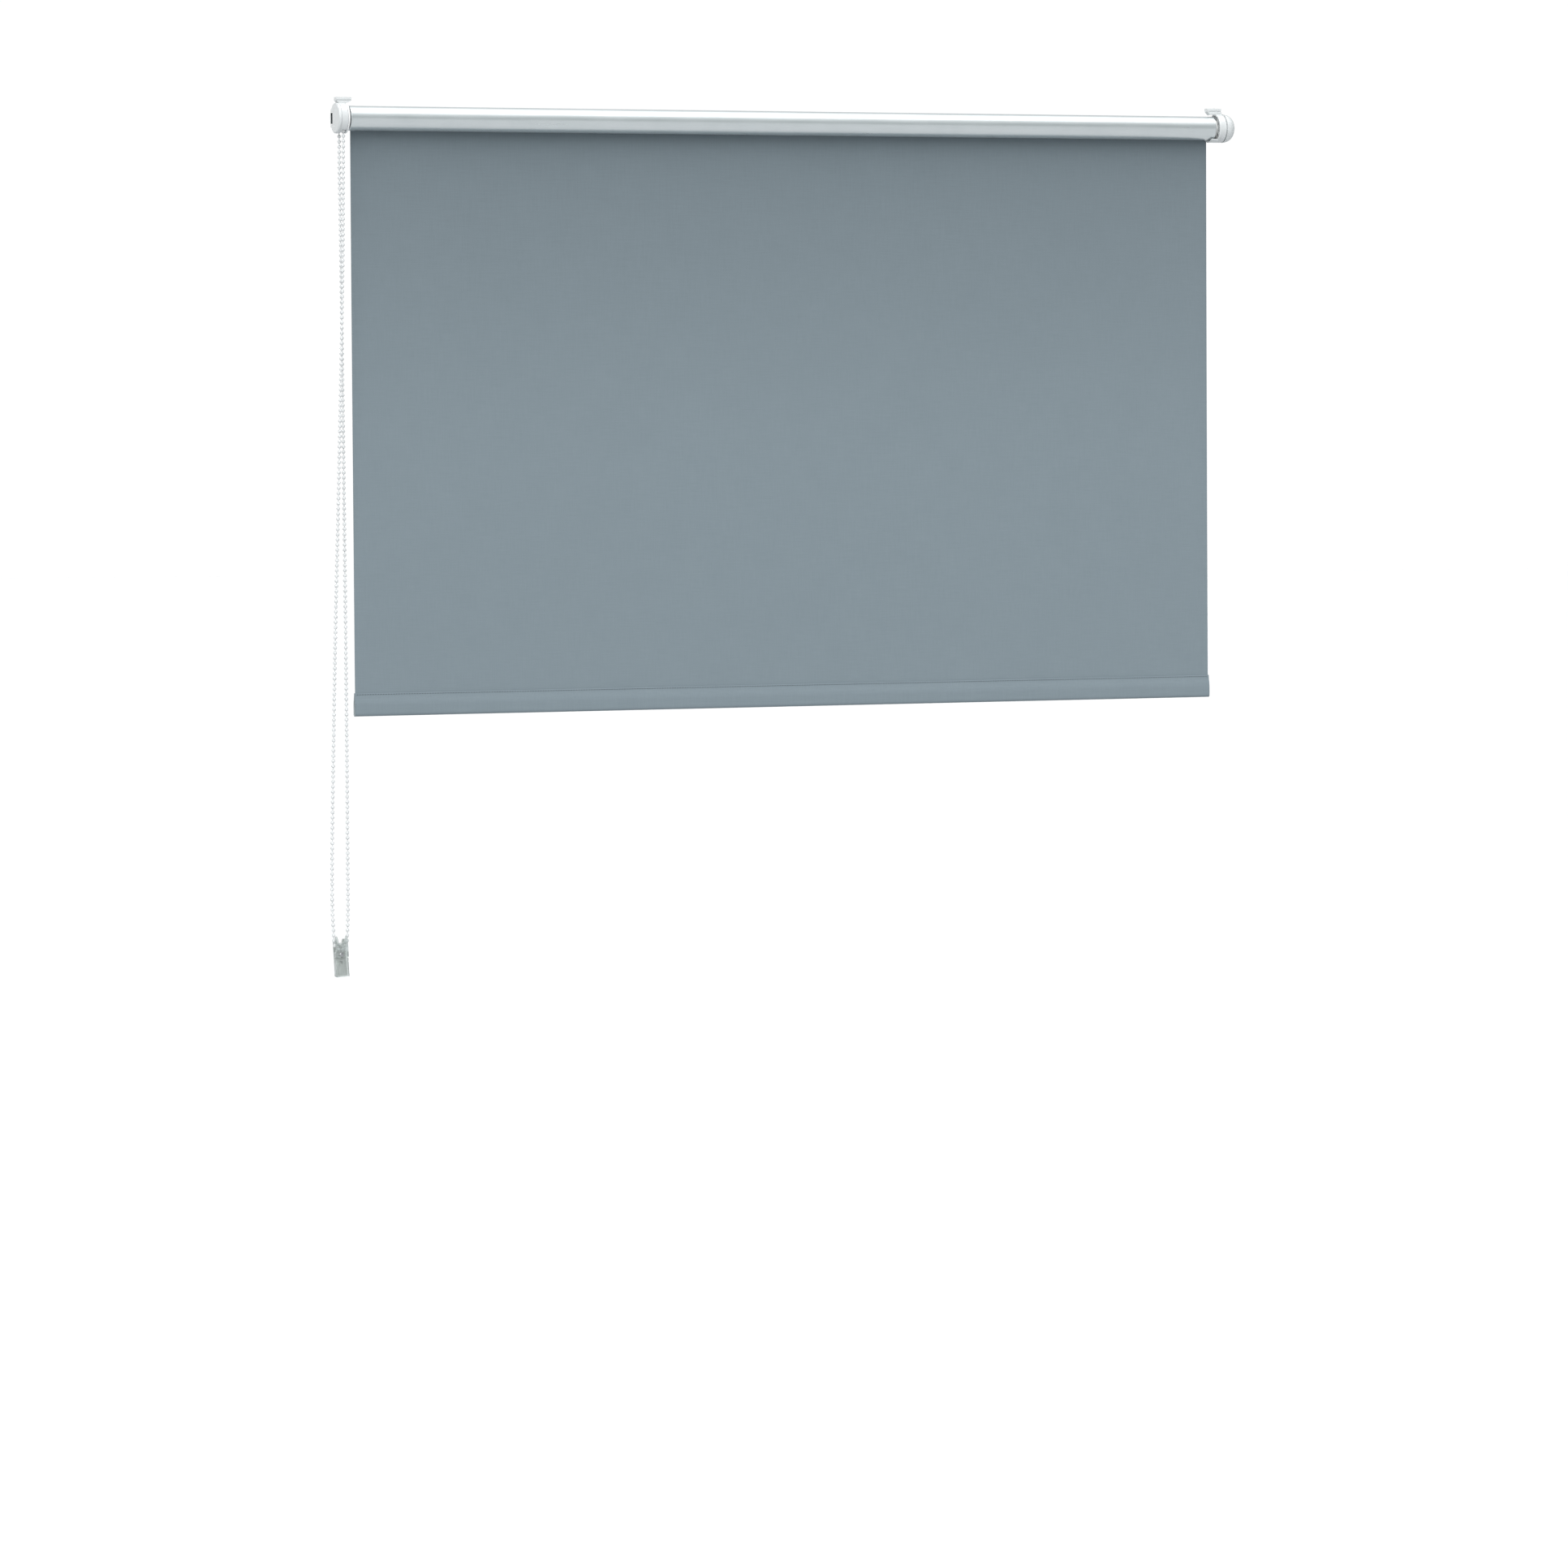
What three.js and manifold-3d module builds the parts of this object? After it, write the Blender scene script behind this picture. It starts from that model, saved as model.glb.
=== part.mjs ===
// Roller blind with a bead-chain drive, half lowered. Millimetres, +X along the roller, +Y to the
// window, +Z up. The origin lies on the plane of the two carrier heads' tops, midway along the cloth.
import * as THREE from 'three';
import { mergeVertices } from 'three/addons/utils/BufferGeometryUtils.js';
import Module from 'manifold-3d';

const wasm = await Module();
wasm.setup();

// ---- driving dimensions ----
const clothWidth = 1100;
const clothThickness = 0.3;
const fullDrop = 1559; // roller axis to the hem's lowest edge, blind fully down
const restDrop = 695; // the same, as modelled
const spareWraps = 78; // cloth that never leaves the tube

const tubeRadius = 10;
const tubeWall = 0.8;
const tapeWidth = 12;
const tapeThickness = 0.2;
const collarLength = 8.2; // guide collar beside the wound cloth, drive end
const collarPlay = 0.4;
const tubeEndPlay = 1.6; // tube past the cloth, idle end

const drumRadius = 17.9; // drive drum and its cover
const drumWall = 1.8;
const drumDepth = 7.8;
const webThickness = 1.3;
const coverDepth = 3;
const coverFace = 1.6;
const coverEdge = 1.4;
const slotWidth = 7.4;
const slotHeight = 13.4;
const slotFromRim = 2.2;
const guardDepth = 1.8;
const guardToRoller = 1.6;

const headWidth = 18.4; // carrier head, the T on top of each bracket
const headDepth = 9;
const headPlate = 3.7;
const headBevel = 2.3;
const neckWidth = 12.6;

const spindleRadius = 4;
const spindleWaist = 3.1;
const boreClearance = 0.4;
const springWire = 0.8;
const springTurns = 6;
const adapterCore = 7.2;
const adapterLength = 29;
const adapterRibs = 6;

const beadDiameter = 4.4;
const beadPitch = 6;
const linkDiameter = 1.3;
const sprocketPockets = 8;
const sprocketWidth = 6;
const pocketPlay = 0.3;

const plugLength = 28;
const plugFlange = 11.4;
const plugFlangeDepth = 1.5;
const pinRadius = 2.5;
const pinShoulder = 3.4;
const pinSpringWire = 0.6;

const armRadius = 17.3; // idle bracket
const armDepth = 9;
const armRim = 2;
const armWeb = 2;
const armToPlug = 0.7;
const bushWall = 1.5;
const lipReach = 8.5;
const lipWall = 1.3;
const domeHeight = 13.8;
const domeWall = 1.6;
const domeGap = 1.2;

const hemHeight = 26.5;
const hemBulge = 6.4;
const hemWall = 0.6;
const hemOverhang = 1;
const barHeight = 16;
const barThickness = 3;
const barShort = 4.5; // bar ends inside the cloth's edges
const capLength = 3.4;
const capWall = 0.7;

const holderLean = -6.9; // chain holder's middle, from the sprocket's
const holderZ = -958; // from the roller axis, where the chain runs round it
const holderWidth = 15.6;
const holderTilt = 3; // degrees, its foot away from the sash edge
const loopRadius = 8;
const chainPlaneY = 8.5; // of the loop in the holder
const cheekThickness = 1.6;
const hornHeight = 8;
const basePlate = 2.5;
const baseHeight = 48;
const padThickness = 1.2;

const gap = 0.3; // between pieces that touch

// ---- derived sizes ----
const halfCloth = clothWidth / 2;
const woundLength = fullDrop - restDrop + spareWraps;
const rollBore = tubeRadius + tapeThickness + 0.4;
const rollRadius = Math.sqrt(rollBore ** 2 + (woundLength * clothThickness) / Math.PI);
const clothY = rollRadius + gap; // room-side face of the hanging cloth
const collarLeft = -halfCloth - collarPlay - collarLength;
const guardRight = collarLeft - guardToRoller;
const guardLeft = guardRight - guardDepth;
const drumRight = guardLeft - gap;
const drumLeft = drumRight - drumDepth;
const coverRight = drumLeft - gap;
const coverLeft = coverRight - coverDepth;
const sprocketRight = drumRight - gap;
const sprocketX = sprocketRight - sprocketWidth / 2;
const sprocketPitch = beadPitch / (2 * Math.sin(Math.PI / sprocketPockets));
const tubeRight = halfCloth + tubeEndPlay;
const armLeft = tubeRight + gap + plugFlangeDepth + armToPlug;
const armRight = armLeft + armDepth;
const hemTop = -restDrop + hemHeight;
const headTop = drumRadius + gap + headBevel + headPlate; // above the roller axis
const holderX = sprocketX + holderLean;

// ---- solids ----
function toSolid(geometry) {
  geometry.deleteAttribute('normal');
  geometry.deleteAttribute('uv');
  const welded = mergeVertices(geometry, 1e-4);
  const corners = welded.index.array;
  const points = welded.attributes.position;
  const a = new THREE.Vector3();
  const b = new THREE.Vector3();
  const c = new THREE.Vector3();
  const triangles = [];
  let volume = 0;
  for (let i = 0; i < corners.length; i += 3) {
    const [p, q, r] = [corners[i], corners[i + 1], corners[i + 2]];
    if (p === q || q === r || r === p) continue;
    triangles.push(p, q, r);
    a.fromBufferAttribute(points, p);
    b.fromBufferAttribute(points, q);
    c.fromBufferAttribute(points, r);
    volume += a.dot(b.cross(c));
  }
  if (volume < 0) triangles.reverse();
  const mesh = new wasm.Mesh({
    numProp: 3,
    vertProperties: new Float32Array(points.array),
    triVerts: new Uint32Array(triangles),
  });
  return new wasm.Manifold(mesh);
}

function toGeometry(solid) {
  const mesh = solid.getMesh();
  const geometry = new THREE.BufferGeometry();
  geometry.setAttribute('position', new THREE.BufferAttribute(mesh.vertProperties.slice(), 3));
  geometry.setIndex(new THREE.BufferAttribute(mesh.triVerts.slice(), 1));
  geometry.computeVertexNormals();
  return geometry;
}

const join = (...solids) => solids.reduce((all, next) => all.add(next));
const cut = (solid, ...tools) => tools.reduce((rest, tool) => rest.subtract(tool), solid);

function block([x0, x1], [y0, y1], [z0, z1]) {
  const geometry = new THREE.BoxGeometry(x1 - x0, y1 - y0, z1 - z0);
  geometry.translate((x0 + x1) / 2, (y0 + y1) / 2, (z0 + z1) / 2);
  return toSolid(geometry);
}

// a turned shape about X: points are [x, radius]
function turnedShape(points, sides = 48) {
  const outline = points.map(([x, radius]) => new THREE.Vector2(radius, x));
  return new THREE.LatheGeometry(outline, sides).rotateZ(-Math.PI / 2);
}

const turned = (points, sides) => toSolid(turnedShape(points, sides));

const rod = (x0, x1, radius, sides) => turned([[x0, 0], [x0, radius], [x1, radius], [x1, 0]], sides);

function ring(x0, x1, outer, inner, sides) {
  return turned([[x0, inner], [x0, outer], [x1, outer], [x1, inner], [x0, inner]], sides);
}

// a profile in Y and Z, run along X
function alongX(shape, x0, x1, curveSegments = 8) {
  const geometry = new THREE.ExtrudeGeometry(shape, { depth: x1 - x0, bevelEnabled: false, curveSegments });
  geometry.rotateX(Math.PI / 2);
  geometry.rotateZ(Math.PI / 2);
  geometry.translate(x0, 0, 0);
  return toSolid(geometry);
}

// a profile in X and Z, run along Y
function alongY(shape, y0, y1, curveSegments = 12) {
  const geometry = new THREE.ExtrudeGeometry(shape, { depth: y1 - y0, bevelEnabled: false, curveSegments });
  geometry.rotateX(Math.PI / 2);
  geometry.translate(0, y1, 0);
  return toSolid(geometry);
}

function polygon(points) {
  return new THREE.Shape(points.map(([u, v]) => new THREE.Vector2(u, v)));
}

// an upright bar's section with round edges, about (middleY, middleZ)
function barSection(middleY, middleZ, height, thickness) {
  const round = thickness / 2;
  const reach = height / 2 - round;
  const shape = new THREE.Shape();
  shape.absarc(middleY, middleZ + reach, round, 0, Math.PI, false);
  shape.absarc(middleY, middleZ - reach, round, Math.PI, 2 * Math.PI, false);
  return shape;
}

function circleShape(radius, sides) {
  const shape = new THREE.Shape();
  for (let i = 0; i < sides; i += 1) {
    const angle = (2 * Math.PI * i) / sides;
    const step = [radius * Math.cos(angle), radius * Math.sin(angle)];
    if (i === 0) shape.moveTo(...step);
    else shape.lineTo(...step);
  }
  return shape;
}

function wireAlong(curve, diameter, steps, sides) {
  const section = circleShape(diameter / 2, sides);
  return toSolid(new THREE.ExtrudeGeometry(section, { steps, extrudePath: curve, bevelEnabled: false }));
}

class CoilCurve extends THREE.Curve {
  constructor(x0, x1, radius, turns) {
    super();
    Object.assign(this, { x0, x1, radius, turns });
  }

  getPoint(t, target = new THREE.Vector3()) {
    const angle = 2 * Math.PI * this.turns * t;
    const y = this.radius * Math.cos(angle);
    return target.set(this.x0 + (this.x1 - this.x0) * t, y, this.radius * Math.sin(angle));
  }
}

// ---- materials ----
const finish = (color, roughness, metalness = 0) => new THREE.MeshStandardMaterial({ color, roughness, metalness });
const clearPlastic = finish(0xe4e9ea, 0.12);
const whitePlastic = finish(0xe9ebea, 0.35);
const chainPlastic = finish(0xdfe5e8, 0.2);
const clothFront = finish(0x8a979d, 0.9);
const clothBack = finish(0xc9d1d3, 0.35, 0.6);
const aluminium = finish(0xc4c9cb, 0.3, 0.9);
const springSteel = finish(0x9a9da0, 0.25, 1);
const foamPad = finish(0xf2f2ee, 0.95);
const darkPlastic = finish(0x3c4042, 0.4);

const blind = new THREE.Group();
const assembly = new THREE.Group();
assembly.position.z = -headTop;
blind.add(assembly);

function piece(name, solid, material, group = assembly) {
  const mesh = new THREE.Mesh(toGeometry(solid), material);
  mesh.name = name;
  group.add(mesh);
}

// ---- carrier head: a T with a bevelled underside, the same on both brackets ----
function carrierHead(middle, footLeft, footRight, footBottom) {
  const half = headWidth / 2;
  const plateBottom = headTop - headPlate;
  const bevelBottom = plateBottom - headBevel;
  const outline = polygon([
    [middle - half, headTop],
    [middle - half, plateBottom],
    [middle - neckWidth / 2, bevelBottom],
    [middle + neckWidth / 2, bevelBottom],
    [middle + half, plateBottom],
    [middle + half, headTop],
  ]);
  const head = alongY(outline, -headDepth / 2, headDepth / 2);
  const foot = block([footLeft, footRight], [-headDepth / 2, headDepth / 2], [footBottom, bevelBottom + 0.5]);
  return head.add(foot);
}

// ---- drive bracket: drum, web, carrier head, chain outlet ----
const driveHeadX = guardLeft - 1.5;
const drumInner = drumRadius - drumWall;
const outletHalf = sprocketPitch + beadDiameter / 2 + 1;
const outlet = block(
  [sprocketX - beadDiameter / 2 - 0.4, sprocketX + beadDiameter / 2 + 0.4],
  [-outletHalf, outletHalf],
  [-drumRadius - 1, -drumInner + 6],
);
const spindleBore = rod(drumLeft - 1, drumRight, spindleRadius - 0.9 + gap);
const driveBracket = cut(
  join(
    ring(drumLeft, drumRight, drumRadius, drumInner),
    rod(drumLeft, drumLeft + webThickness, drumInner + 0.5),
    carrierHead(driveHeadX, driveHeadX - neckWidth / 2, drumRight, drumInner + 0.4),
  ),
  outlet,
  spindleBore,
);
piece('drive_bracket', driveBracket, clearPlastic);

// ---- drive cover: flat cap with a rounded edge and a slot at its window side ----
const coverOutline = [
  [coverLeft, 0],
  [coverLeft, drumRadius - coverEdge],
  [coverLeft + coverEdge * 0.29, drumRadius - coverEdge * 0.29],
  [coverLeft + coverEdge, drumRadius],
  [coverRight, drumRadius],
  [coverRight, drumInner],
  [coverLeft + coverFace, drumInner],
  [coverLeft + coverFace, 0],
];
const slotY = drumRadius - slotFromRim - slotWidth / 2;
const slotRange = [slotY - slotWidth / 2, slotY + slotWidth / 2];
const slotCut = block([coverLeft - 1, coverRight + 1], slotRange, [-slotHeight / 2, slotHeight / 2]);
piece('drive_cover', cut(turned(coverOutline), slotCut), clearPlastic);

// ---- chain guard: the bright ring between drum and roller ----
const neckRadius = 6.2;
piece('chain_guard', ring(guardLeft, guardRight, drumRadius, neckRadius + 1.4), clearPlastic);

// ---- spindle, fixed in the bracket's web; the sprocket and the adapter turn on it ----
const springLeft = guardRight + 4;
const springPitch = springWire + 0.25;
const springRight = springLeft + springTurns * springPitch;
const adapterRight = collarLeft + adapterLength;
const clipX = adapterRight - 12;
const clipThickness = 0.8;
const spindleEnd = clipX + 3;
const clipGroove = spindleWaist - 0.4;
const spindle = turned([
  [drumLeft - gap / 2, 0],
  [drumLeft - gap / 2, spindleRadius - 0.9],
  [drumLeft + webThickness + gap, spindleRadius - 0.9],
  [drumLeft + webThickness + gap, spindleRadius],
  [springLeft - 1, spindleRadius],
  [springLeft - 1, spindleWaist],
  [springRight + 1, spindleWaist],
  [springRight + 1, spindleRadius],
  [clipX - gap, spindleRadius],
  [clipX - gap, clipGroove],
  [clipX + clipThickness + gap, clipGroove],
  [clipX + clipThickness + gap, spindleRadius],
  [spindleEnd - 0.6, spindleRadius],
  [spindleEnd, spindleRadius - 0.6],
  [spindleEnd, 0],
], 32);
piece('drive_spindle', spindle, whitePlastic);

const springMean = spindleWaist + springWire / 2 + 0.15;
const wrapCurve = new CoilCurve(springLeft + springWire, springRight - springWire, springMean, springTurns);
piece('wrap_spring', wireAlong(wrapCurve, springWire, springTurns * 12, 6), springSteel);

const clipRadius = spindleRadius + 1.1;
const clipMouth = block([clipX - 1, clipX + 2], [-1.6, 1.6], [-clipRadius - 1, 0]);
const clip = cut(ring(clipX, clipX + clipThickness, clipRadius, clipGroove + 0.2, 24), clipMouth);
piece('spindle_clip', clip, springSteel);

// ---- sprocket with a pocket for every bead ----
const sprocketOuter = sprocketPitch + 1.6;
const spindleBoreRadius = spindleRadius + boreClearance;
const pocketTools = [];
const pocketAngle = (i) => (2 * Math.PI * (i + 0.5)) / sprocketPockets;
for (let i = 0; i < sprocketPockets; i += 1) {
  const pocket = new THREE.SphereGeometry(beadDiameter / 2 + pocketPlay, 10, 7);
  pocket.translate(sprocketX, sprocketPitch * Math.cos(pocketAngle(i)), sprocketPitch * Math.sin(pocketAngle(i)));
  pocketTools.push(toSolid(pocket));
}
const linkGroove = ring(
  sprocketX - linkDiameter / 2 - pocketPlay,
  sprocketX + linkDiameter / 2 + pocketPlay,
  sprocketOuter + 1,
  sprocketPitch * Math.cos(Math.PI / sprocketPockets) - linkDiameter / 2 - pocketPlay,
);
const sprocket = cut(
  ring(sprocketX - sprocketWidth / 2, sprocketRight, sprocketOuter, spindleBoreRadius, 32),
  linkGroove,
  ...pocketTools,
);
piece('chain_sprocket', sprocket, whitePlastic);

// ---- tube adapter: neck through the guard, flange, ribbed plug in the tube ----
const adapterFlangeLeft = guardRight + 0.5;
const adapterFlangeRight = collarLeft - gap;
const adapterBody = [
  ring(sprocketRight + gap, adapterFlangeLeft + 0.2, neckRadius, spindleBoreRadius, 32),
  ring(adapterFlangeLeft, adapterFlangeRight, tubeRadius + 1.6, spindleBoreRadius, 32),
  ring(adapterFlangeRight - 0.2, clipX - 1, adapterCore, spindleBoreRadius, 32),
  ring(clipX - 1.2, adapterRight, adapterCore, clipRadius + 0.5, 32),
];
for (let i = 0; i < adapterRibs; i += 1) {
  const ribOuter = tubeRadius - tubeWall - gap;
  const rib = new THREE.BoxGeometry(adapterLength, 1.6, ribOuter - adapterCore + 0.6);
  rib.translate(collarLeft + adapterLength / 2, 0, (ribOuter + adapterCore - 0.6) / 2);
  rib.rotateX((2 * Math.PI * i) / adapterRibs);
  adapterBody.push(toSolid(rib));
}
piece('tube_adapter', join(...adapterBody), darkPlastic);

// ---- roller: tube, tape, wound cloth, guide collar ----
piece('roller_tube', ring(collarLeft, tubeRight, tubeRadius, tubeRadius - tubeWall), aluminium);

const tapeAngle = tapeWidth / tubeRadius;
const tapeShape = new THREE.Shape();
tapeShape.absarc(0, 0, tubeRadius + 0.1 + tapeThickness, -tapeAngle / 2, tapeAngle / 2, false);
tapeShape.absarc(0, 0, tubeRadius + 0.1, tapeAngle / 2, -tapeAngle / 2, true);
piece('adhesive_tape', alongX(tapeShape, -halfCloth, halfCloth, 8), foamPad);

piece('wound_cloth', ring(-halfCloth, halfCloth, rollRadius, rollBore, 64), clothBack);

const collarRadius = rollRadius - 0.1;
const collarRight = collarLeft + collarLength;
const guideCollar = turned([
  [collarLeft, tubeRadius + 0.1],
  [collarLeft, collarRadius - 0.5],
  [collarLeft + 0.5, collarRadius],
  [collarRight, collarRadius],
  [collarRight, tubeRadius + 0.1],
  [collarLeft, tubeRadius + 0.1],
], 64);
piece('guide_collar', guideCollar, aluminium);

// ---- idle end: plug in the tube, sprung pin, spring ----
const plugLeft = tubeRight - plugLength;
const plugBore = pinShoulder + boreClearance;
const plugNose = tubeRight - 4;
const plugRadius = tubeRadius - tubeWall - gap;
const plugRight = tubeRight + gap + plugFlangeDepth;
const endPlug = turned([
  [plugLeft, 0],
  [plugLeft, plugRadius - 1],
  [plugLeft + 1, plugRadius],
  [tubeRight + gap, plugRadius],
  [tubeRight + gap, plugFlange],
  [plugRight - 0.5, plugFlange],
  [plugRight, plugFlange - 0.5],
  [plugRight, pinRadius + boreClearance],
  [plugNose, pinRadius + boreClearance],
  [plugNose, plugBore],
  [plugLeft + 2, plugBore],
  [plugLeft + 2, 0],
], 40);
piece('end_plug', endPlug, whitePlastic);

const pinLeft = plugNose - 5;
const pinRight = armRight - 1.2;
const idlePin = turned([
  [pinLeft, 0],
  [pinLeft, pinRadius],
  [plugNose - 2.6, pinRadius],
  [plugNose - 2.6, pinShoulder],
  [plugNose - gap, pinShoulder],
  [plugNose - gap, pinRadius],
  [pinRight - 0.8, pinRadius],
  [pinRight, pinRadius - 0.8],
  [pinRight, 0],
], 32);
piece('idle_pin', idlePin, whitePlastic);

const pinCurve = new CoilCurve(plugLeft + 2.6, pinLeft - 0.7, pinRadius - 0.1, 5);
piece('pin_spring', wireAlong(pinCurve, pinSpringWire, 40, 5), springSteel);

// ---- idle bracket: rim, web, hub for the bush, carrier head, lip under the roller's end ----
const idleHeadX = armLeft - 1.8;
const bushOuter = pinRadius + 0.1 + bushWall;
const hubRadius = bushOuter + 1.8;
const webLeft = armLeft + 4;
const lipShape = new THREE.Shape();
const lipSpan = Math.PI / 5;
lipShape.absarc(0, 0, armRadius, -Math.PI / 2 - lipSpan, -Math.PI / 2 + lipSpan, false);
lipShape.absarc(0, 0, armRadius - lipWall, -Math.PI / 2 + lipSpan, -Math.PI / 2 - lipSpan, true);
const idleBracket = cut(
  join(
    ring(armLeft, armRight, armRadius, armRadius - armRim),
    rod(webLeft, webLeft + armWeb, armRadius - armRim + 0.5),
    rod(armLeft + 0.6, armRight, hubRadius, 32),
    alongX(lipShape, armLeft - lipReach, armLeft + 0.5),
    carrierHead(idleHeadX, idleHeadX - neckWidth / 2, armRight - 0.6, armRadius - 0.7),
  ),
  rod(armLeft - 1, armRight + 1, bushOuter + 0.1, 32),
);
piece('idle_bracket', idleBracket, clearPlastic);
piece('pin_bush', ring(armLeft + 0.8, armRight - 0.2, bushOuter, pinRadius + 0.08, 32), whitePlastic);

// ---- idle cover: domed shell with a lip that snaps into the bracket's rim ----
const domeLeft = armRight + domeGap;
const domeSteps = 7;
const lipRadius = armRadius - armRim - gap;
const domeArc = (radius, height) => {
  const arc = [];
  for (let i = 0; i <= domeSteps; i += 1) {
    const angle = (Math.PI / 2) * (i / domeSteps);
    const r = i === domeSteps ? 0 : radius * Math.cos(angle);
    arc.push([domeLeft + height * Math.sin(angle), r]);
  }
  return arc;
};
const innerDome = domeArc(armRadius - domeWall - 1.2, domeHeight - domeWall);
const domeOutline = [
  ...domeArc(armRadius, domeHeight),
  ...innerDome.reverse(),
  [armRight - 1.6, armRadius - domeWall - 1.2],
  [armRight - 1.6, lipRadius],
  [domeLeft, lipRadius],
  [domeLeft, armRadius],
];
piece('idle_cover', turned(domeOutline, 40), clearPlastic);

// ---- hem: cloth sheet, pocket, bar, bar caps ----
const clothMiddle = clothY + clothThickness / 2;
const sheet = block([-halfCloth, halfCloth], [clothY, clothY + clothThickness], [hemTop + gap, 0]);
piece('hanging_cloth', sheet, clothFront);

function pocketOutline(inset) {
  const top = hemTop - inset * 3;
  const bottom = hemTop - hemHeight + inset;
  const half = hemBulge / 2 - inset;
  const shape = new THREE.Shape();
  shape.moveTo(clothMiddle - 0.4, top);
  shape.quadraticCurveTo(clothMiddle - half, top - 5, clothMiddle - half, top - 10);
  shape.lineTo(clothMiddle - half, bottom + half);
  shape.absarc(clothMiddle, bottom + half, half, Math.PI, 2 * Math.PI, false);
  shape.lineTo(clothMiddle + half, top - 10);
  shape.quadraticCurveTo(clothMiddle + half, top - 5, clothMiddle + 0.4, top);
  return shape;
}
const hemHalf = halfCloth + hemOverhang;
const pocket = cut(
  alongX(pocketOutline(0), -hemHalf, hemHalf),
  alongX(pocketOutline(hemWall), -hemHalf - 1, hemHalf + 1),
);
piece('hem_pocket', pocket, clothFront);

const barZ = hemTop - hemHeight + hemWall + 0.9 + barHeight / 2;
const barHalf = halfCloth - barShort;
const barShape = barSection(clothMiddle, barZ, barHeight, barThickness);
piece('hem_bar', alongX(barShape, -barHalf, barHalf), aluminium);

const capShape = barSection(clothMiddle, barZ, barHeight + 1.4, barThickness + 2 * capWall + 0.4);
const capBore = barSection(clothMiddle, barZ, barHeight + 0.4, barThickness + 0.4);
for (const [name, side] of [['hem_cap_left', -1], ['hem_cap_right', 1]]) {
  const outer = side * (barHalf + 1 + gap);
  const inner = outer - side * capLength;
  const stop = side * (barHalf + gap / 2);
  const cap = cut(
    alongX(capShape, Math.min(inner, outer), Math.max(inner, outer)),
    alongX(capBore, Math.min(inner - side, stop), Math.max(inner - side, stop)),
  );
  piece(name, cap, whitePlastic);
}

// ---- bead chain: beads in the sprocket's pockets, two strands, loop in the holder ----
const lastWrapBead = sprocketPockets / 2; // one bead past the top half at each end
const beadPoint = (i) => {
  const angle = pocketAngle(i);
  return new THREE.Vector3(sprocketX, sprocketPitch * Math.cos(angle), sprocketPitch * Math.sin(angle));
};
const wrapSolids = [];
for (let i = -1; i <= lastWrapBead; i += 1) {
  const bead = new THREE.SphereGeometry(beadDiameter / 2, 8, 6);
  bead.translate(...beadPoint(i).toArray());
  wrapSolids.push(toSolid(bead));
  if (i === lastWrapBead) break;
  const link = new THREE.LineCurve3(beadPoint(i), beadPoint(i + 1));
  wrapSolids.push(wireAlong(link, linkDiameter, 1, 8));
}
piece('chain_wrap', join(...wrapSolids), chainPlastic);

const strandY = sprocketPitch + 0.1;
const strandTop = -9; // below the circle that the beads turn in
// strand points: [x from the sprocket's middle, y, z from the roller axis], sprocket end first
const frontStrand = [
  [0, -strandY, strandTop],
  [0, -strandY, -20],
  [-0.8, -8.4, -60],
  [-1.8, -8, -140],
  [-3.8, -7.2, -240],
  [-6, -5.4, -340],
  [-8.6, -2.8, -450],
  [-11.2, 0.6, -560],
  [-13.4, 3.6, -670],
  [-15.4, 6, -780],
  [-16.7, 7.6, -870],
  [-16.6, 8.3, -918],
  [-15.6, chainPlaneY, -940],
  [holderLean - loopRadius, chainPlaneY, holderZ + gap],
];
const backStrand = [
  [0, strandY, strandTop],
  [0, strandY, -20],
  [0.2, 8.6, -60],
  [1.2, 9.4, -140],
  [1.9, 10, -240],
  [2.5, 10.4, -340],
  [2.9, 10.5, -450],
  [3.2, 10.3, -560],
  [3.3, 9.9, -670],
  [3.2, 9.4, -780],
  [2.9, 9, -870],
  [2.7, 8.7, -918],
  [2, chainPlaneY, -940],
  [holderLean + loopRadius, chainPlaneY, holderZ + gap],
];
for (const [name, points] of [['chain_front_strand', frontStrand], ['chain_back_strand', backStrand]]) {
  const stops = points.map(([x, y, z]) => new THREE.Vector3(sprocketX + x, y, z));
  const route = new THREE.CatmullRomCurve3(stops, false, 'centripetal');
  piece(name, wireAlong(route, beadDiameter, 32, 8), chainPlastic);
}

class LoopCurve extends THREE.Curve {
  getPoint(t, target = new THREE.Vector3()) {
    const angle = Math.PI * (1 + t);
    const x = holderX + loopRadius * Math.cos(angle);
    return target.set(x, chainPlaneY, holderZ + loopRadius * Math.sin(angle));
  }
}
piece('chain_bottom_loop', wireAlong(new LoopCurve(), beadDiameter, 14, 8), chainPlastic);

// ---- chain holder: hook with horns and core, base plate with ribs, screw, foam pad ----
// its own X and Z are from the middle of the chain's loop, and it leans about that point
const holder = new THREE.Group();
holder.position.set(holderX, 0, holderZ);
holder.rotation.y = THREE.MathUtils.degToRad(-holderTilt);
assembly.add(holder);

const half = holderWidth / 2;
const cheekGap = beadDiameter / 2 + 0.6;
const cheekFront = chainPlaneY - cheekGap - cheekThickness;
const cheekBack = chainPlaneY - cheekGap;
const baseFront = chainPlaneY + cheekGap;
const baseBack = baseFront + basePlate;
const coreRadius = loopRadius - beadDiameter / 2 - gap;
const hornTop = hornHeight;
const cheekBottom = -17;
const plateTop = -23;
const plateBottom = hornTop - baseHeight;

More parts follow.
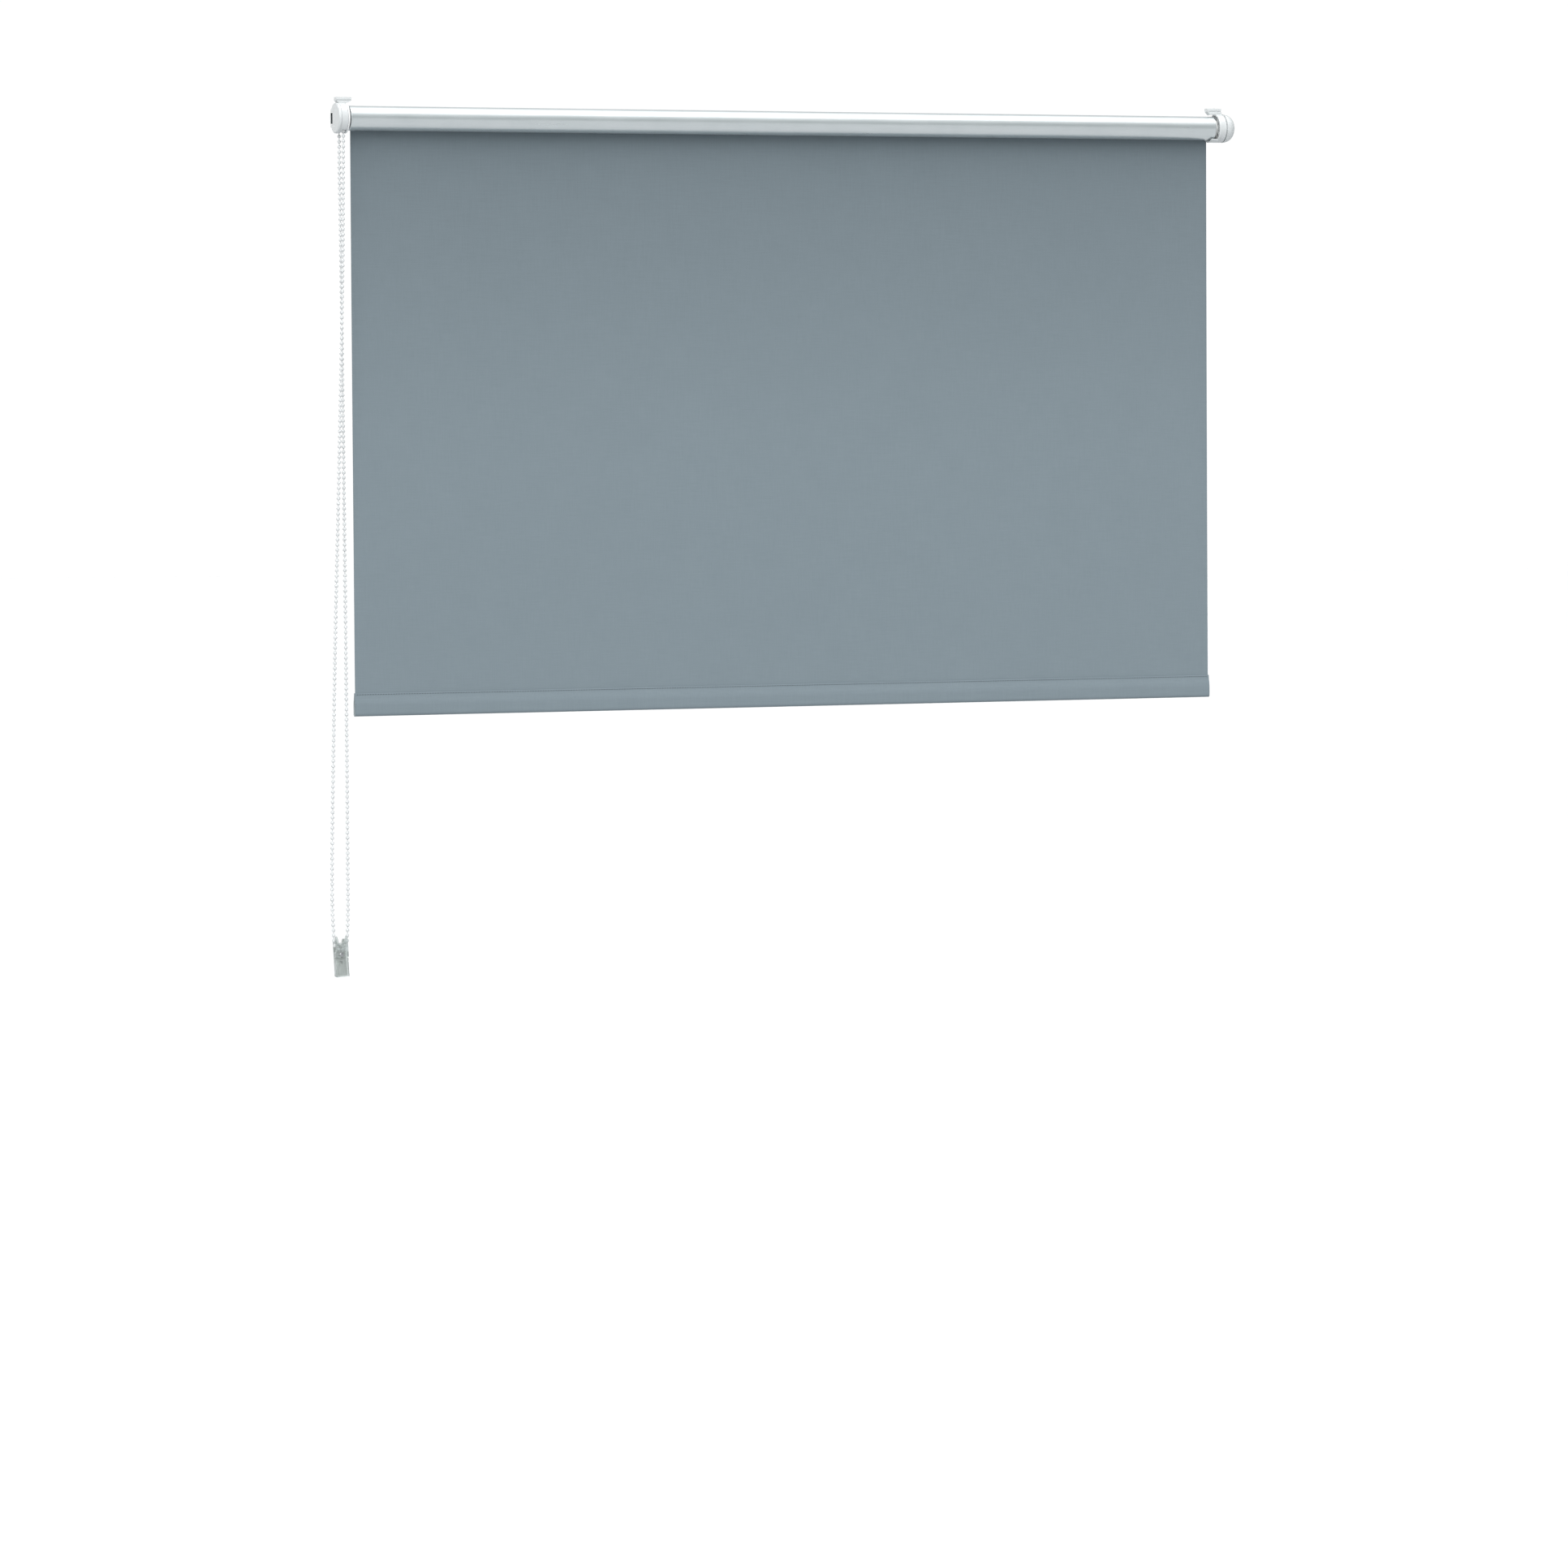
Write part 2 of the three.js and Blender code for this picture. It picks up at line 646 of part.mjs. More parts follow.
const cheekShape = new THREE.Shape();
cheekShape.moveTo(-half, cheekBottom);
cheekShape.lineTo(half, cheekBottom);
cheekShape.lineTo(half, hornTop - 3);
cheekShape.quadraticCurveTo(half - 0.5, hornTop, half - 3, hornTop);
cheekShape.quadraticCurveTo(4, hornTop - 7, 0, -3);
cheekShape.quadraticCurveTo(-4, hornTop - 7, -half + 3, hornTop);
cheekShape.quadraticCurveTo(-half + 0.5, hornTop, -half, hornTop - 3);

const coreShape = new THREE.Shape();
coreShape.absarc(0, 0, coreRadius, Math.PI, 2 * Math.PI, false);
const core = alongY(coreShape, cheekBack - 0.5, baseFront - gap, 16);
const footTop = -loopRadius - beadDiameter / 2 - gap;
const hookFoot = block([-half, half], [cheekBack - 0.5, baseFront - gap], [cheekBottom, footTop]);
const screwX = -1;
const screwZ = (cheekBottom + footTop) / 2;
const acrossAtScrew = (points) => {
  const shape = turnedShape(points, 20);
  return toSolid(shape.rotateZ(Math.PI / 2).translate(screwX, 0, screwZ));
};
const screwHole = (radius) => acrossAtScrew([[-30, 0], [-30, radius], [30, radius], [30, 0]]);
const hook = cut(join(alongY(cheekShape, cheekFront, cheekBack), core, hookFoot), screwHole(1.6));
piece('holder_hook', hook, clearPlastic, holder);

const ribs = [];
const ribCount = 5;
for (let i = 0; i < ribCount; i += 1) {
  const x = -half + 2 + (i * (holderWidth - 4)) / (ribCount - 1);
  ribs.push(block([x - 0.7, x + 0.7], [cheekFront + 1, cheekFront + 2.4], [plateBottom + 3, plateTop - 1]));
}
const base = cut(
  join(
    block([-half, half], [baseFront, baseBack], [plateBottom, hornTop - 4]),
    block([-half, half], [cheekFront + 2, baseFront + 0.5], [plateBottom, plateTop]),
    block([-half, half], [cheekFront + 0.6, cheekFront + 2.2], [plateBottom, plateBottom + 3]),
    ...ribs,
  ),
  screwHole(1.3),
);
piece('holder_base', base, clearPlastic, holder);

const screw = acrossAtScrew([
  [cheekFront - 1.2, 0],
  [cheekFront - 1.2, 1.6],
  [cheekFront - 0.3, 2.6],
  [cheekFront - 0.3, 1.2],
  [baseBack - 0.4, 1.2],
  [baseBack - 0.4, 0],
]);
piece('holder_screw', screw, springSteel, holder);

const padShape = [-half + 1, half - 1];
const pad = block(padShape, [baseBack + gap, baseBack + gap + padThickness], [plateBottom + 1, hornTop - 5]);
piece('holder_pad', pad, foamPad, holder);

export default blind;
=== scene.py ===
import math

import bmesh
import bpy
from mathutils import Matrix, Vector, noise
from mathutils.geometry import interpolate_bezier
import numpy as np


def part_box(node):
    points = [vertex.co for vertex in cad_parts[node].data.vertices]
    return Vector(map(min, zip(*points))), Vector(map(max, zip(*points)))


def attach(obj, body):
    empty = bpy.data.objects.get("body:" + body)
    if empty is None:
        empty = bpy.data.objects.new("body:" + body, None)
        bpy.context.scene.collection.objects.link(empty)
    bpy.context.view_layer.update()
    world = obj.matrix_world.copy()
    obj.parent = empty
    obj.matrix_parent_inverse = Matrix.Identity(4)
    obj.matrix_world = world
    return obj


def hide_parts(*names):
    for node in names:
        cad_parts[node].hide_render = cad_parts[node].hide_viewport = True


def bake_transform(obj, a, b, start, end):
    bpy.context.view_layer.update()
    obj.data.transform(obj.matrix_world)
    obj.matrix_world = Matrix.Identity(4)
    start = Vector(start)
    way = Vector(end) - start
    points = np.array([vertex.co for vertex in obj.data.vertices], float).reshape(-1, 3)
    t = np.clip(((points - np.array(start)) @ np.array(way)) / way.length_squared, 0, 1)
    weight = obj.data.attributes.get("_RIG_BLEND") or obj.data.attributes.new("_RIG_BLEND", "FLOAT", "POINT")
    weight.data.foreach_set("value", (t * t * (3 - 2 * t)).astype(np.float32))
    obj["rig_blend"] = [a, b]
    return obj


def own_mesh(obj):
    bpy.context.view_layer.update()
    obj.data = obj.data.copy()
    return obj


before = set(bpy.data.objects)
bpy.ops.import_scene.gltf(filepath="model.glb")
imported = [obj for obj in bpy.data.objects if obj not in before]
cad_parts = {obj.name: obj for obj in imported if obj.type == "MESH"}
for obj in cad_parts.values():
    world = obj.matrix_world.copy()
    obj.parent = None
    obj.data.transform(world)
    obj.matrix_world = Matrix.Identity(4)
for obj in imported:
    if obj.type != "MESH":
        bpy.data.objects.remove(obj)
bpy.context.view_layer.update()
scene = bpy.context.scene
scene.view_settings.view_transform = "Standard"

# shapes are made in millimetres about the roller's axis, and finishPiece puts them in the frame in metres
millimetre = 0.001
axisHeight = (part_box("roller_tube")[0].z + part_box("roller_tube")[1].z) / 2
touchGap = 0.3  # between CAD pieces that touch


def limits(node):
    lo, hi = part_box(node)
    up = Vector((0, 0, axisHeight))
    return (lo - up) / millimetre, (hi - up) / millimetre


print("blind: camera")
cameraSet = {
    "place": (-2.9942, -7.3898, -0.3815),
    "turn": 21.944,
    "tilt": -2.487,
    "roll": -0.348,
    "lens": 153.37,
    "shiftY": -0.0445,
}


def addCamera():
    data = bpy.data.cameras.new("camera")
    data.lens = cameraSet["lens"]
    data.sensor_width = 36
    data.shift_y = cameraSet["shiftY"]
    data.clip_end = 60
    camera = bpy.data.objects.new("camera", data)
    turn = Matrix.Rotation(math.radians(-cameraSet["turn"]), 4, "Z")
    tilt = Matrix.Rotation(math.radians(90 + cameraSet["tilt"]), 4, "X")
    roll = Matrix.Rotation(math.radians(cameraSet["roll"]), 4, "Z")
    camera.matrix_world = Matrix.Translation(cameraSet["place"]) @ turn @ tilt @ roll
    scene.collection.objects.link(camera)
    scene.camera = camera


addCamera()

# ---- material helpers ----


def makeNode(tree, kind, **values):
    node = tree.nodes.new(kind)
    for key, value in values.items():
        if key in node.inputs:
            node.inputs[key].default_value = value
        else:
            setattr(node, key, value)
    return node


def startMaterial(name):
    material = bpy.data.materials.new(name)
    material.use_nodes = True
    tree = material.node_tree
    shader = next(n for n in tree.nodes if n.type == "BSDF_PRINCIPLED")
    place = tree.nodes.new("ShaderNodeTexCoord").outputs["Object"]
    return material, tree, shader, place


def noiseOf(tree, place, scale, stretch=(1, 1, 1), detail=4.0):
    mapping = makeNode(tree, "ShaderNodeMapping", Scale=stretch)
    texture = makeNode(tree, "ShaderNodeTexNoise", Scale=scale, Detail=detail)
    tree.links.new(place, mapping.inputs["Vector"])
    tree.links.new(mapping.outputs["Vector"], texture.inputs["Vector"])
    return texture.outputs["Fac"]


def threadsOf(tree, place, direction, pitch, wobble=0.6):
    texture = makeNode(
        tree, "ShaderNodeTexWave", wave_type="BANDS", bands_direction=direction, wave_profile="SIN"
    )
    texture.inputs["Scale"].default_value = math.pi / 10 / pitch
    texture.inputs["Distortion"].default_value = wobble
    texture.inputs["Detail Scale"].default_value = 2.0
    tree.links.new(place, texture.inputs["Vector"])
    return texture.outputs["Fac"]


def mathOf(tree, operation, first, second):
    node = makeNode(tree, "ShaderNodeMath", operation=operation)
    for socket, value in zip(node.inputs, (first, second)):
        if isinstance(value, (int, float)):
            socket.default_value = value
        else:
            tree.links.new(value, socket)
    return node.outputs[0]


def rampOf(tree, source, stops):
    ramp = tree.nodes.new("ShaderNodeValToRGB")
    elements = ramp.color_ramp.elements
    elements[0].position, elements[0].color = stops[0][0], (*stops[0][1], 1)
    elements[1].position, elements[1].color = stops[-1][0], (*stops[-1][1], 1)
    for position, color in stops[1:-1]:
        elements.new(position).color = (*color, 1)
    tree.links.new(source, ramp.inputs["Fac"])
    return ramp.outputs["Color"]


def rangeOf(tree, source, low, high):
    node = makeNode(tree, "ShaderNodeMapRange")
    node.inputs["To Min"].default_value = low
    node.inputs["To Max"].default_value = high
    tree.links.new(source, node.inputs["Value"])
    return node.outputs["Result"]


def bumpOf(tree, shader, height, strength, distance):
    bump = makeNode(tree, "ShaderNodeBump", Strength=strength, Distance=distance)
    tree.links.new(height, bump.inputs["Height"])
    tree.links.new(bump.outputs["Normal"], shader.inputs["Normal"])


def plasticMaterial(name, look):
    material, tree, shader, place = startMaterial(name)
    clouds = noiseOf(tree, place, look["cloudScale"])
    dark = tuple(c * (1 - look["variation"]) for c in look["color"])
    color = rampOf(tree, clouds, [(0.3, dark), (0.7, look["color"])])
    tree.links.new(color, shader.inputs["Base Color"])
    scuffs = noiseOf(tree, place, look["scuffScale"], (1, 1, 0.2), 6.0)
    tree.links.new(rangeOf(tree, scuffs, *look["roughness"]), shader.inputs["Roughness"])
    bumpOf(tree, shader, clouds, look["bump"], look["bumpDepth"])
    shader.inputs["IOR"].default_value = look["ior"]
    shader.inputs["Transmission Weight"].default_value = look["transmission"]
    shader.inputs["Coat Weight"].default_value = look["coat"]
    shader.inputs["Coat Roughness"].default_value = 0.06
    return material


def metalMaterial(name, look):
    material, tree, shader, place = startMaterial(name)
    lines = noiseOf(tree, place, look["grainScale"], look["grain"], 5.0)
    dark = tuple(c * (1 - look["variation"]) for c in look["color"])
    color = rampOf(tree, lines, [(0.25, dark), (0.75, look["color"])])
    tree.links.new(color, shader.inputs["Base Color"])
    tree.links.new(rangeOf(tree, lines, *look["roughness"]), shader.inputs["Roughness"])
    bumpOf(tree, shader, lines, look["bump"], 0.0002)
    shader.inputs["Metallic"].default_value = 1.0
    return material


print("blind: materials")
clearPlastic = plasticMaterial("clearPlastic", {
    "color": (0.8, 0.825, 0.83), "variation": 0.03, "cloudScale": 90, "scuffScale": 900,
    "roughness": (0.05, 0.16), "bump": 0.06, "bumpDepth": 0.0003, "ior": 1.42,
    "transmission": 0.22, "coat": 0.3,
})
holderPlastic = plasticMaterial("holderPlastic", {
    "color": (0.86, 0.905, 0.89), "variation": 0.05, "cloudScale": 120, "scuffScale": 900,
    "roughness": (0.04, 0.14), "bump": 0.1, "bumpDepth": 0.0003, "ior": 1.5,
    "transmission": 0.8, "coat": 0.4,
})
milkyPlastic = plasticMaterial("milkyPlastic", {
    "color": (0.96, 0.97, 0.97), "variation": 0.03, "cloudScale": 90, "scuffScale": 900,
    "roughness": (0.08, 0.22), "bump": 0.06, "bumpDepth": 0.0003, "ior": 1.45,
    "transmission": 0.15, "coat": 0.3,
})
beadPlastic = plasticMaterial("beadPlastic", {
    "color": (0.92, 0.935, 0.94), "variation": 0.08, "cloudScale": 420, "scuffScale": 1200,
    "roughness": (0.08, 0.25), "bump": 0.1, "bumpDepth": 0.0003, "ior": 1.45,
    "transmission": 0.35, "coat": 0.2,
})
whitePlastic = plasticMaterial("whitePlastic", {
    "color": (0.83, 0.84, 0.83), "variation": 0.07, "cloudScale": 300, "scuffScale": 700,
    "roughness": (0.28, 0.48), "bump": 0.2, "bumpDepth": 0.0002, "ior": 1.46,
    "transmission": 0.0, "coat": 0.05,
})
# painted shade: a dark plastic for the slot's lining and the tube adapter, which fill the shaded slot and
# gap by the guard
paintedShadePlastic = plasticMaterial("paintedShadePlastic", {
    "color": (0.05, 0.06, 0.065), "variation": 0.25, "cloudScale": 300, "scuffScale": 700,
    "roughness": (0.3, 0.5), "bump": 0.2, "bumpDepth": 0.0002, "ior": 1.46,
    "transmission": 0.0, "coat": 0.0,
})
foamPad = plasticMaterial("foamPad", {
    "color": (0.86, 0.86, 0.83), "variation": 0.2, "cloudScale": 2600, "scuffScale": 2600,
    "roughness": (0.8, 1.0), "bump": 0.8, "bumpDepth": 0.0003, "ior": 1.4,
    "transmission": 0.0, "coat": 0.0,
})
satinAluminium = metalMaterial("satinAluminium", {
    "color": (0.8, 0.82, 0.83), "variation": 0.12, "grainScale": 900, "grain": (0.02, 1, 1),
    "roughness": (0.24, 0.42), "bump": 0.2,
})
springSteel = metalMaterial("springSteel", {
    "color": (0.58, 0.59, 0.6), "variation": 0.25, "grainScale": 1500, "grain": (1, 1, 1),
    "roughness": (0.18, 0.4), "bump": 0.3,
})

clothLook = {
    "thread": 0.55 * millimetre,
    "light": (0.213, 0.26, 0.288),
    "dark": (0.184, 0.227, 0.253),
    "silver": (0.76, 0.8, 0.81),
    "silverDark": (0.70, 0.745, 0.755),
    # painted shade on the cloth: how far down from the roll's axis it reaches, and how dark it is there
    "paintedShadeReach": 0.44,
    "paintedShade": 0.83,
}


def clothMaterial(name, across):
    # matt plain weave: warp and weft threads, thick and thin threads, and a broad soft mottling
    material, tree, shader, place = startMaterial(name)
    warp = threadsOf(tree, place, "X", clothLook["thread"])
    weft = threadsOf(tree, place, across, clothLook["thread"])
    weave = mathOf(tree, "MULTIPLY", warp, weft)
    longSlubs = noiseOf(tree, place, 900, (1, 1, 0.05), 3.0)
    crossSlubs = noiseOf(tree, place, 900, (0.05, 1, 1), 3.0)
    slubs = mathOf(tree, "ADD", longSlubs, crossSlubs)
    mottle = noiseOf(tree, place, 28, (1, 1, 1), 6.0)
    tone = mathOf(tree, "MULTIPLY", weave, 0.25)
    tone = mathOf(tree, "ADD", tone, mathOf(tree, "MULTIPLY", slubs, 0.45))
    tone = mathOf(tree, "ADD", tone, mathOf(tree, "MULTIPLY", mottle, 0.22))
    color = rampOf(tree, tone, [(0.35, clothLook["dark"]), (0.95, clothLook["light"])])
    # painted shade: the colour is a little darker towards the roll, and this fades out down the cloth
    height = tree.nodes.new("ShaderNodeSeparateXYZ")
    tree.links.new(place, height.inputs[0])
    depth = makeNode(tree, "ShaderNodeMapRange", interpolation_type="SMOOTHSTEP")
    depth.inputs["From Min"].default_value = axisHeight
    depth.inputs["From Max"].default_value = axisHeight - clothLook["paintedShadeReach"]
    depth.inputs["To Min"].default_value = clothLook["paintedShade"]
    tree.links.new(height.outputs["Z"], depth.inputs["Value"])
    shaded = makeNode(tree, "ShaderNodeVectorMath", operation="MULTIPLY")
    tree.links.new(color, shaded.inputs[0])
    tree.links.new(depth.outputs["Result"], shaded.inputs[1])
    tree.links.new(shaded.outputs[0], shader.inputs["Base Color"])
    tree.links.new(rangeOf(tree, slubs, 0.98, 0.8), shader.inputs["Roughness"])
    bumpOf(tree, shader, mathOf(tree, "ADD", weave, mathOf(tree, "MULTIPLY", slubs, 0.6)), 0.35, 0.0001)
    shader.inputs["Sheen Weight"].default_value = 0.12
    shader.inputs["Sheen Roughness"].default_value = 0.5
    shader.inputs["Specular IOR Level"].default_value = 0.2
    return material


def silverMaterial(name):
    # aluminium-coated back of the cloth: satin, with the weave just showing through
    material, tree, shader, place = startMaterial(name)
    warp = threadsOf(tree, place, "X", clothLook["thread"])
    streaks = noiseOf(tree, place, 260, (0.05, 1, 1), 5.0)
    patches = noiseOf(tree, place, 40, (1, 1, 1), 5.0)
    tone = mathOf(tree, "MULTIPLY", mathOf(tree, "ADD", streaks, patches), 0.5)
    stops = [(0.3, clothLook["silverDark"]), (0.7, clothLook["silver"])]
    tree.links.new(rampOf(tree, tone, stops), shader.inputs["Base Color"])
    tree.links.new(rangeOf(tree, streaks, 0.24, 0.36), shader.inputs["Roughness"])
    relief = mathOf(tree, "ADD", mathOf(tree, "MULTIPLY", warp, 0.3), streaks)
    bumpOf(tree, shader, relief, 0.12, 0.0001)
    shader.inputs["Metallic"].default_value = 0.85
    return material


clothFront = clothMaterial("clothFront", "Z")
clothBack = silverMaterial("clothBack")
seamThread = plasticMaterial("seamThread", {
    "color": (0.09, 0.12, 0.14), "variation": 0.3, "cloudScale": 2000, "scuffScale": 2600,
    "roughness": (0.75, 0.95), "bump": 0.5, "bumpDepth": 0.0002, "ior": 1.4,
    "transmission": 0.0, "coat": 0.0,
})

# ---- shape helpers ----


def turnOutline(points, steps=96):
    # a solid or a ring about X: points are (x, radius), and an outline off the axis closes on itself
    shape = bmesh.new()
    corners = [shape.verts.new((x, 0, radius)) for x, radius in points]
    edges = [shape.edges.new(pair) for pair in zip(corners, corners[1:])]
    if points[0][1] > 0:
        edges.append(shape.edges.new((corners[-1], corners[0])))
    bmesh.ops.spin(
        shape, geom=corners + edges, cent=(0, 0, 0), axis=(1, 0, 0), dvec=(0, 0, 0),
        angle=2 * math.pi, steps=steps, use_merge=True,
    )
    bmesh.ops.remove_doubles(shape, verts=shape.verts, dist=0.001)
    bmesh.ops.recalc_face_normals(shape, faces=shape.faces)
    return shape


def ringShape(left, right, outer, inner, steps=96):
    return turnOutline([(left, inner), (left, outer), (right, outer), (right, inner)], steps)


def rodShape(left, right, radius, steps=48):
    return turnOutline([(left, 0), (left, radius), (right, radius), (right, 0)], steps)


def plateShape(corners, start, end, along="Y", rounding=None, segments=5):
    # a flat outline run along one axis: corners are (x, z) along Y, or (y, z) along X
    shape = bmesh.new()
    if along == "Y":
        points = [Vector((u, start, v)) for u, v in corners]
        run = Vector((0, end - start, 0))
    else:
        points = [Vector((start, u, v)) for u, v in corners]
        run = Vector((end - start, 0, 0))
    face = shape.faces.new([shape.verts.new(p) for p in points])
    if rounding:
        sizes = {}
        for vert, size in zip(face.verts, rounding):
            sizes.setdefault(size, []).append(vert)
        for size, verts in sizes.items():
            if size:
                bmesh.ops.bevel(
                    shape, geom=verts, offset=size, offset_type="OFFSET", segments=segments,
                    profile=0.5, affect="VERTICES", material=-1,
                )
    made = bmesh.ops.extrude_face_region(shape, geom=shape.faces[:])
    moved = [v for v in made["geom"] if isinstance(v, bmesh.types.BMVert)]
    bmesh.ops.translate(shape, verts=moved, vec=run)
    bmesh.ops.recalc_face_normals(shape, faces=shape.faces)
    return shape


def boxShape(low, high):
    shape = bmesh.new()
    size = [b - a for a, b in zip(low, high)]
    middle = [(a + b) / 2 for a, b in zip(low, high)]
    place = Matrix.Translation(middle) @ Matrix.Diagonal((*size, 1))
    bmesh.ops.create_cube(shape, size=1.0, matrix=place)
    return shape


def turnAboutAxis(shape, degrees, axis="X"):
    turn = Matrix.Rotation(math.radians(degrees), 3, axis)
    bmesh.ops.rotate(shape, verts=shape.verts, cent=(0, 0, 0), matrix=turn)


def ribsAbout(low, high, turns):
    # the same block set at several turns about the roller's axis
    ribs = []
    for turn in turns:
        rib = boxShape(low, high)
        turnAboutAxis(rib, turn)
        ribs.append(rib)
    return ribs


def crossSlot(face, depth, reach, half):
    # two bars that cross, to cut a driver's slot into a round end
    return [
        boxShape((face - 1, -half, -reach), (face + depth, half, reach)),
        boxShape((face - 1, -reach, -half), (face + depth, reach, half)),
    ]


def rectangle(left, bottom, right, top):
    return [(left, bottom), (right, bottom), (right, top), (left, top)]


def rodBetween(shape, start, end, radius, segments, capped=True):
    run = end - start
    turn = run.to_track_quat("Z", "Y").to_matrix().to_4x4()
    bmesh.ops.create_cone(
        shape, cap_ends=capped, segments=segments, radius1=radius, radius2=radius, depth=run.length,
        matrix=Matrix.Translation((start + end) / 2) @ turn,
    )


def meshOf(shape, name="part"):
    mesh = bpy.data.meshes.new(name)
    shape.to_mesh(mesh)
    shape.free()
    return mesh


def combine(base, joined=(), cut=()):
    # one closed solid from several: joined shapes are added, then cut shapes taken away
    body = bpy.data.objects.new("body", meshOf(base))
    scene.collection.objects.link(body)
    helpers = []
    for operation, shapes in (("UNION", joined), ("DIFFERENCE", cut)):
        for other in shapes:
            tool = bpy.data.objects.new("tool", meshOf(other))
            scene.collection.objects.link(tool)
            modifier = body.modifiers.new("cut", "BOOLEAN")
            modifier.operation = operation
            modifier.solver = "EXACT"
            modifier.object = tool
            helpers.append(tool)
    bpy.context.view_layer.update()
    result = bpy.data.meshes.new_from_object(body.evaluated_get(bpy.context.evaluated_depsgraph_get()))
    shape = bmesh.new()
    shape.from_mesh(result)
    bmesh.ops.remove_doubles(shape, verts=shape.verts, dist=0.001)
    for item in [body, *helpers]:
        bpy.data.meshes.remove(item.data)
    bpy.data.meshes.remove(result)
    return shape


def softenEdges(shape, width, segments=2, angle=35):
    sharp = [
        e for e in shape.edges
        if len(e.link_faces) == 2 and e.calc_face_angle() > math.radians(angle)
    ]
    bmesh.ops.bevel(
        shape, geom=sharp, offset=width, offset_type="OFFSET", segments=segments, profile=0.5,
        affect="EDGES", clamp_overlap=True, material=-1,
    )


def finishPiece(name, shape, body, materials, replaces=(), smoothAngle=32, bevelWidth=None):
    bmesh.ops.scale(shape, verts=shape.verts, vec=(millimetre,) * 3)
    bmesh.ops.translate(shape, verts=shape.verts, vec=(0, 0, axisHeight))
    mesh = meshOf(shape, name)
    mesh.shade_smooth()
    mesh.set_sharp_from_angle(angle=math.radians(smoothAngle))
    for material in materials:
        mesh.materials.append(material)
    piece = bpy.data.objects.new(name, mesh)
    scene.collection.objects.link(piece)
    if bevelWidth:
        bevel = piece.modifiers.new("softEdges", "BEVEL")
        bevel.width = bevelWidth * millimetre
        bevel.segments = 2
        bevel.limit_method = "ANGLE"
        bevel.angle_limit = math.radians(smoothAngle)
        bevel.harden_normals = True
    if body:
        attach(piece, body)
    if replaces:
        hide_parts(*replaces)
    return piece


# ---- bead chain ----
print("blind: bead chain")
sprocketLow, sprocketHigh = limits("chain_sprocket")
sprocketX = (sprocketLow.x + sprocketHigh.x) / 2
strandTop = limits("chain_front_strand")[1].z
chainSet = {
    "bead": 4.4,
    "pitch": 6.0,
    "cord": 1.3,
    "cordInBead": 0.25,
    "pockets": 8,
    "wrapBeads": 6,
    "loopRadius": 8.0,
    "loopHeight": -958.0,
    "planeY": 8.5,
    "beadSides": 10,
    "beadRings": 6,
    "cordSides": 6,
    "loopSteps": 24,
    # stops as x from the sprocket's middle, y and z from the roller's axis, top first
    "front": [
        (0, -7.94, -9), (0, -7.94, -20), (-0.8, -8.4, -60), (-1.8, -8, -140), (-3.8, -7.2, -240),
        (-6, -5.4, -340), (-8.6, -2.8, -450), (-11.2, 0.6, -560), (-13.4, 3.6, -670),
        (-15.4, 6, -780), (-16.7, 7.6, -870), (-16.6, 8.3, -918), (-15.6, 8.5, -940),
        (-14.9, 8.5, -957.7),
    ],
    "back": [
        (0, 7.94, -9), (0, 7.94, -20), (0.2, 8.6, -60), (1.2, 9.4, -140), (1.9, 10, -240),
        (2.5, 10.4, -340), (2.9, 10.5, -450), (3.2, 10.3, -560), (3.3, 9.9, -670),
        (3.2, 9.4, -780), (2.9, 9, -870), (2.7, 8.7, -918), (2, 8.5, -940), (1.1, 8.5, -957.7),
    ],
}
sprocketPitch = chainSet["pitch"] / (2 * math.sin(math.pi / chainSet["pockets"]))
holderX = sprocketX + (chainSet["front"][-1][0] + chainSet["back"][-1][0]) / 2


def smoothRoute(stops, perStretch=24):
    points = [Vector(stops[0])]
    for i in range(len(stops) - 1):
        before, start = Vector(stops[max(i - 1, 0)]), Vector(stops[i])
        end, after = Vector(stops[i + 1]), Vector(stops[min(i + 2, len(stops) - 1)])
        reach = (end - start).length / 3
        leave = start + (end - before).normalized() * reach
        arrive = end - (after - start).normalized() * reach
        points += interpolate_bezier(start, leave, arrive, end, perStretch)[1:]
    return points


def evenSteps(points, step, first=0.0):
    # places at equal distances along a line of points
    found, travelled, wanted = [], 0.0, first
    for start, end in zip(points, points[1:]):
        stretch = (end - start).length
        while wanted <= travelled + stretch + 1e-6:
            found.append(start.lerp(end, (wanted - travelled) / stretch))
            wanted += step
        travelled += stretch
    return found


def lineLength(points):
    return sum((b - a).length for a, b in zip(points, points[1:]))


def hangingRoute():
    front, back = (
        smoothRoute([Vector((sprocketX + x, y, z)) for x, y, z in chainSet[side]])
        for side in ("front", "back")
    )
    loop = []
    for i in range(1, chainSet["loopSteps"]):
        angle = math.pi * (1 + i / chainSet["loopSteps"])
        offset = Vector((math.cos(angle), 0, math.sin(angle))) * chainSet["loopRadius"]
        loop.append(Vector((holderX, chainSet["planeY"], chainSet["loopHeight"])) + offset)
    return front + loop + list(reversed(back))


def addBead(shape, place, direction):
    turn = direction.to_track_quat("Z", "Y").to_matrix().to_4x4()
    bmesh.ops.create_uvsphere(
        shape, u_segments=chainSet["beadSides"], v_segments=chainSet["beadRings"],
        radius=chainSet["bead"] / 2, matrix=Matrix.Translation(place) @ turn,
    )


def chainShape(places):
    shape = bmesh.new()
    for i, place in enumerate(places):
        ahead, behind = places[min(i + 1, len(places) - 1)], places[max(i - 1, 0)]
        addBead(shape, place, ahead - behind)
        if i:
            pull = (place - places[i - 1]).normalized() * (chainSet["bead"] / 2 - chainSet["cordInBead"])
            start, end = places[i - 1] + pull, place - pull
            rodBetween(shape, start, end, chainSet["cord"] / 2, chainSet["cordSides"], capped=False)
    return shape


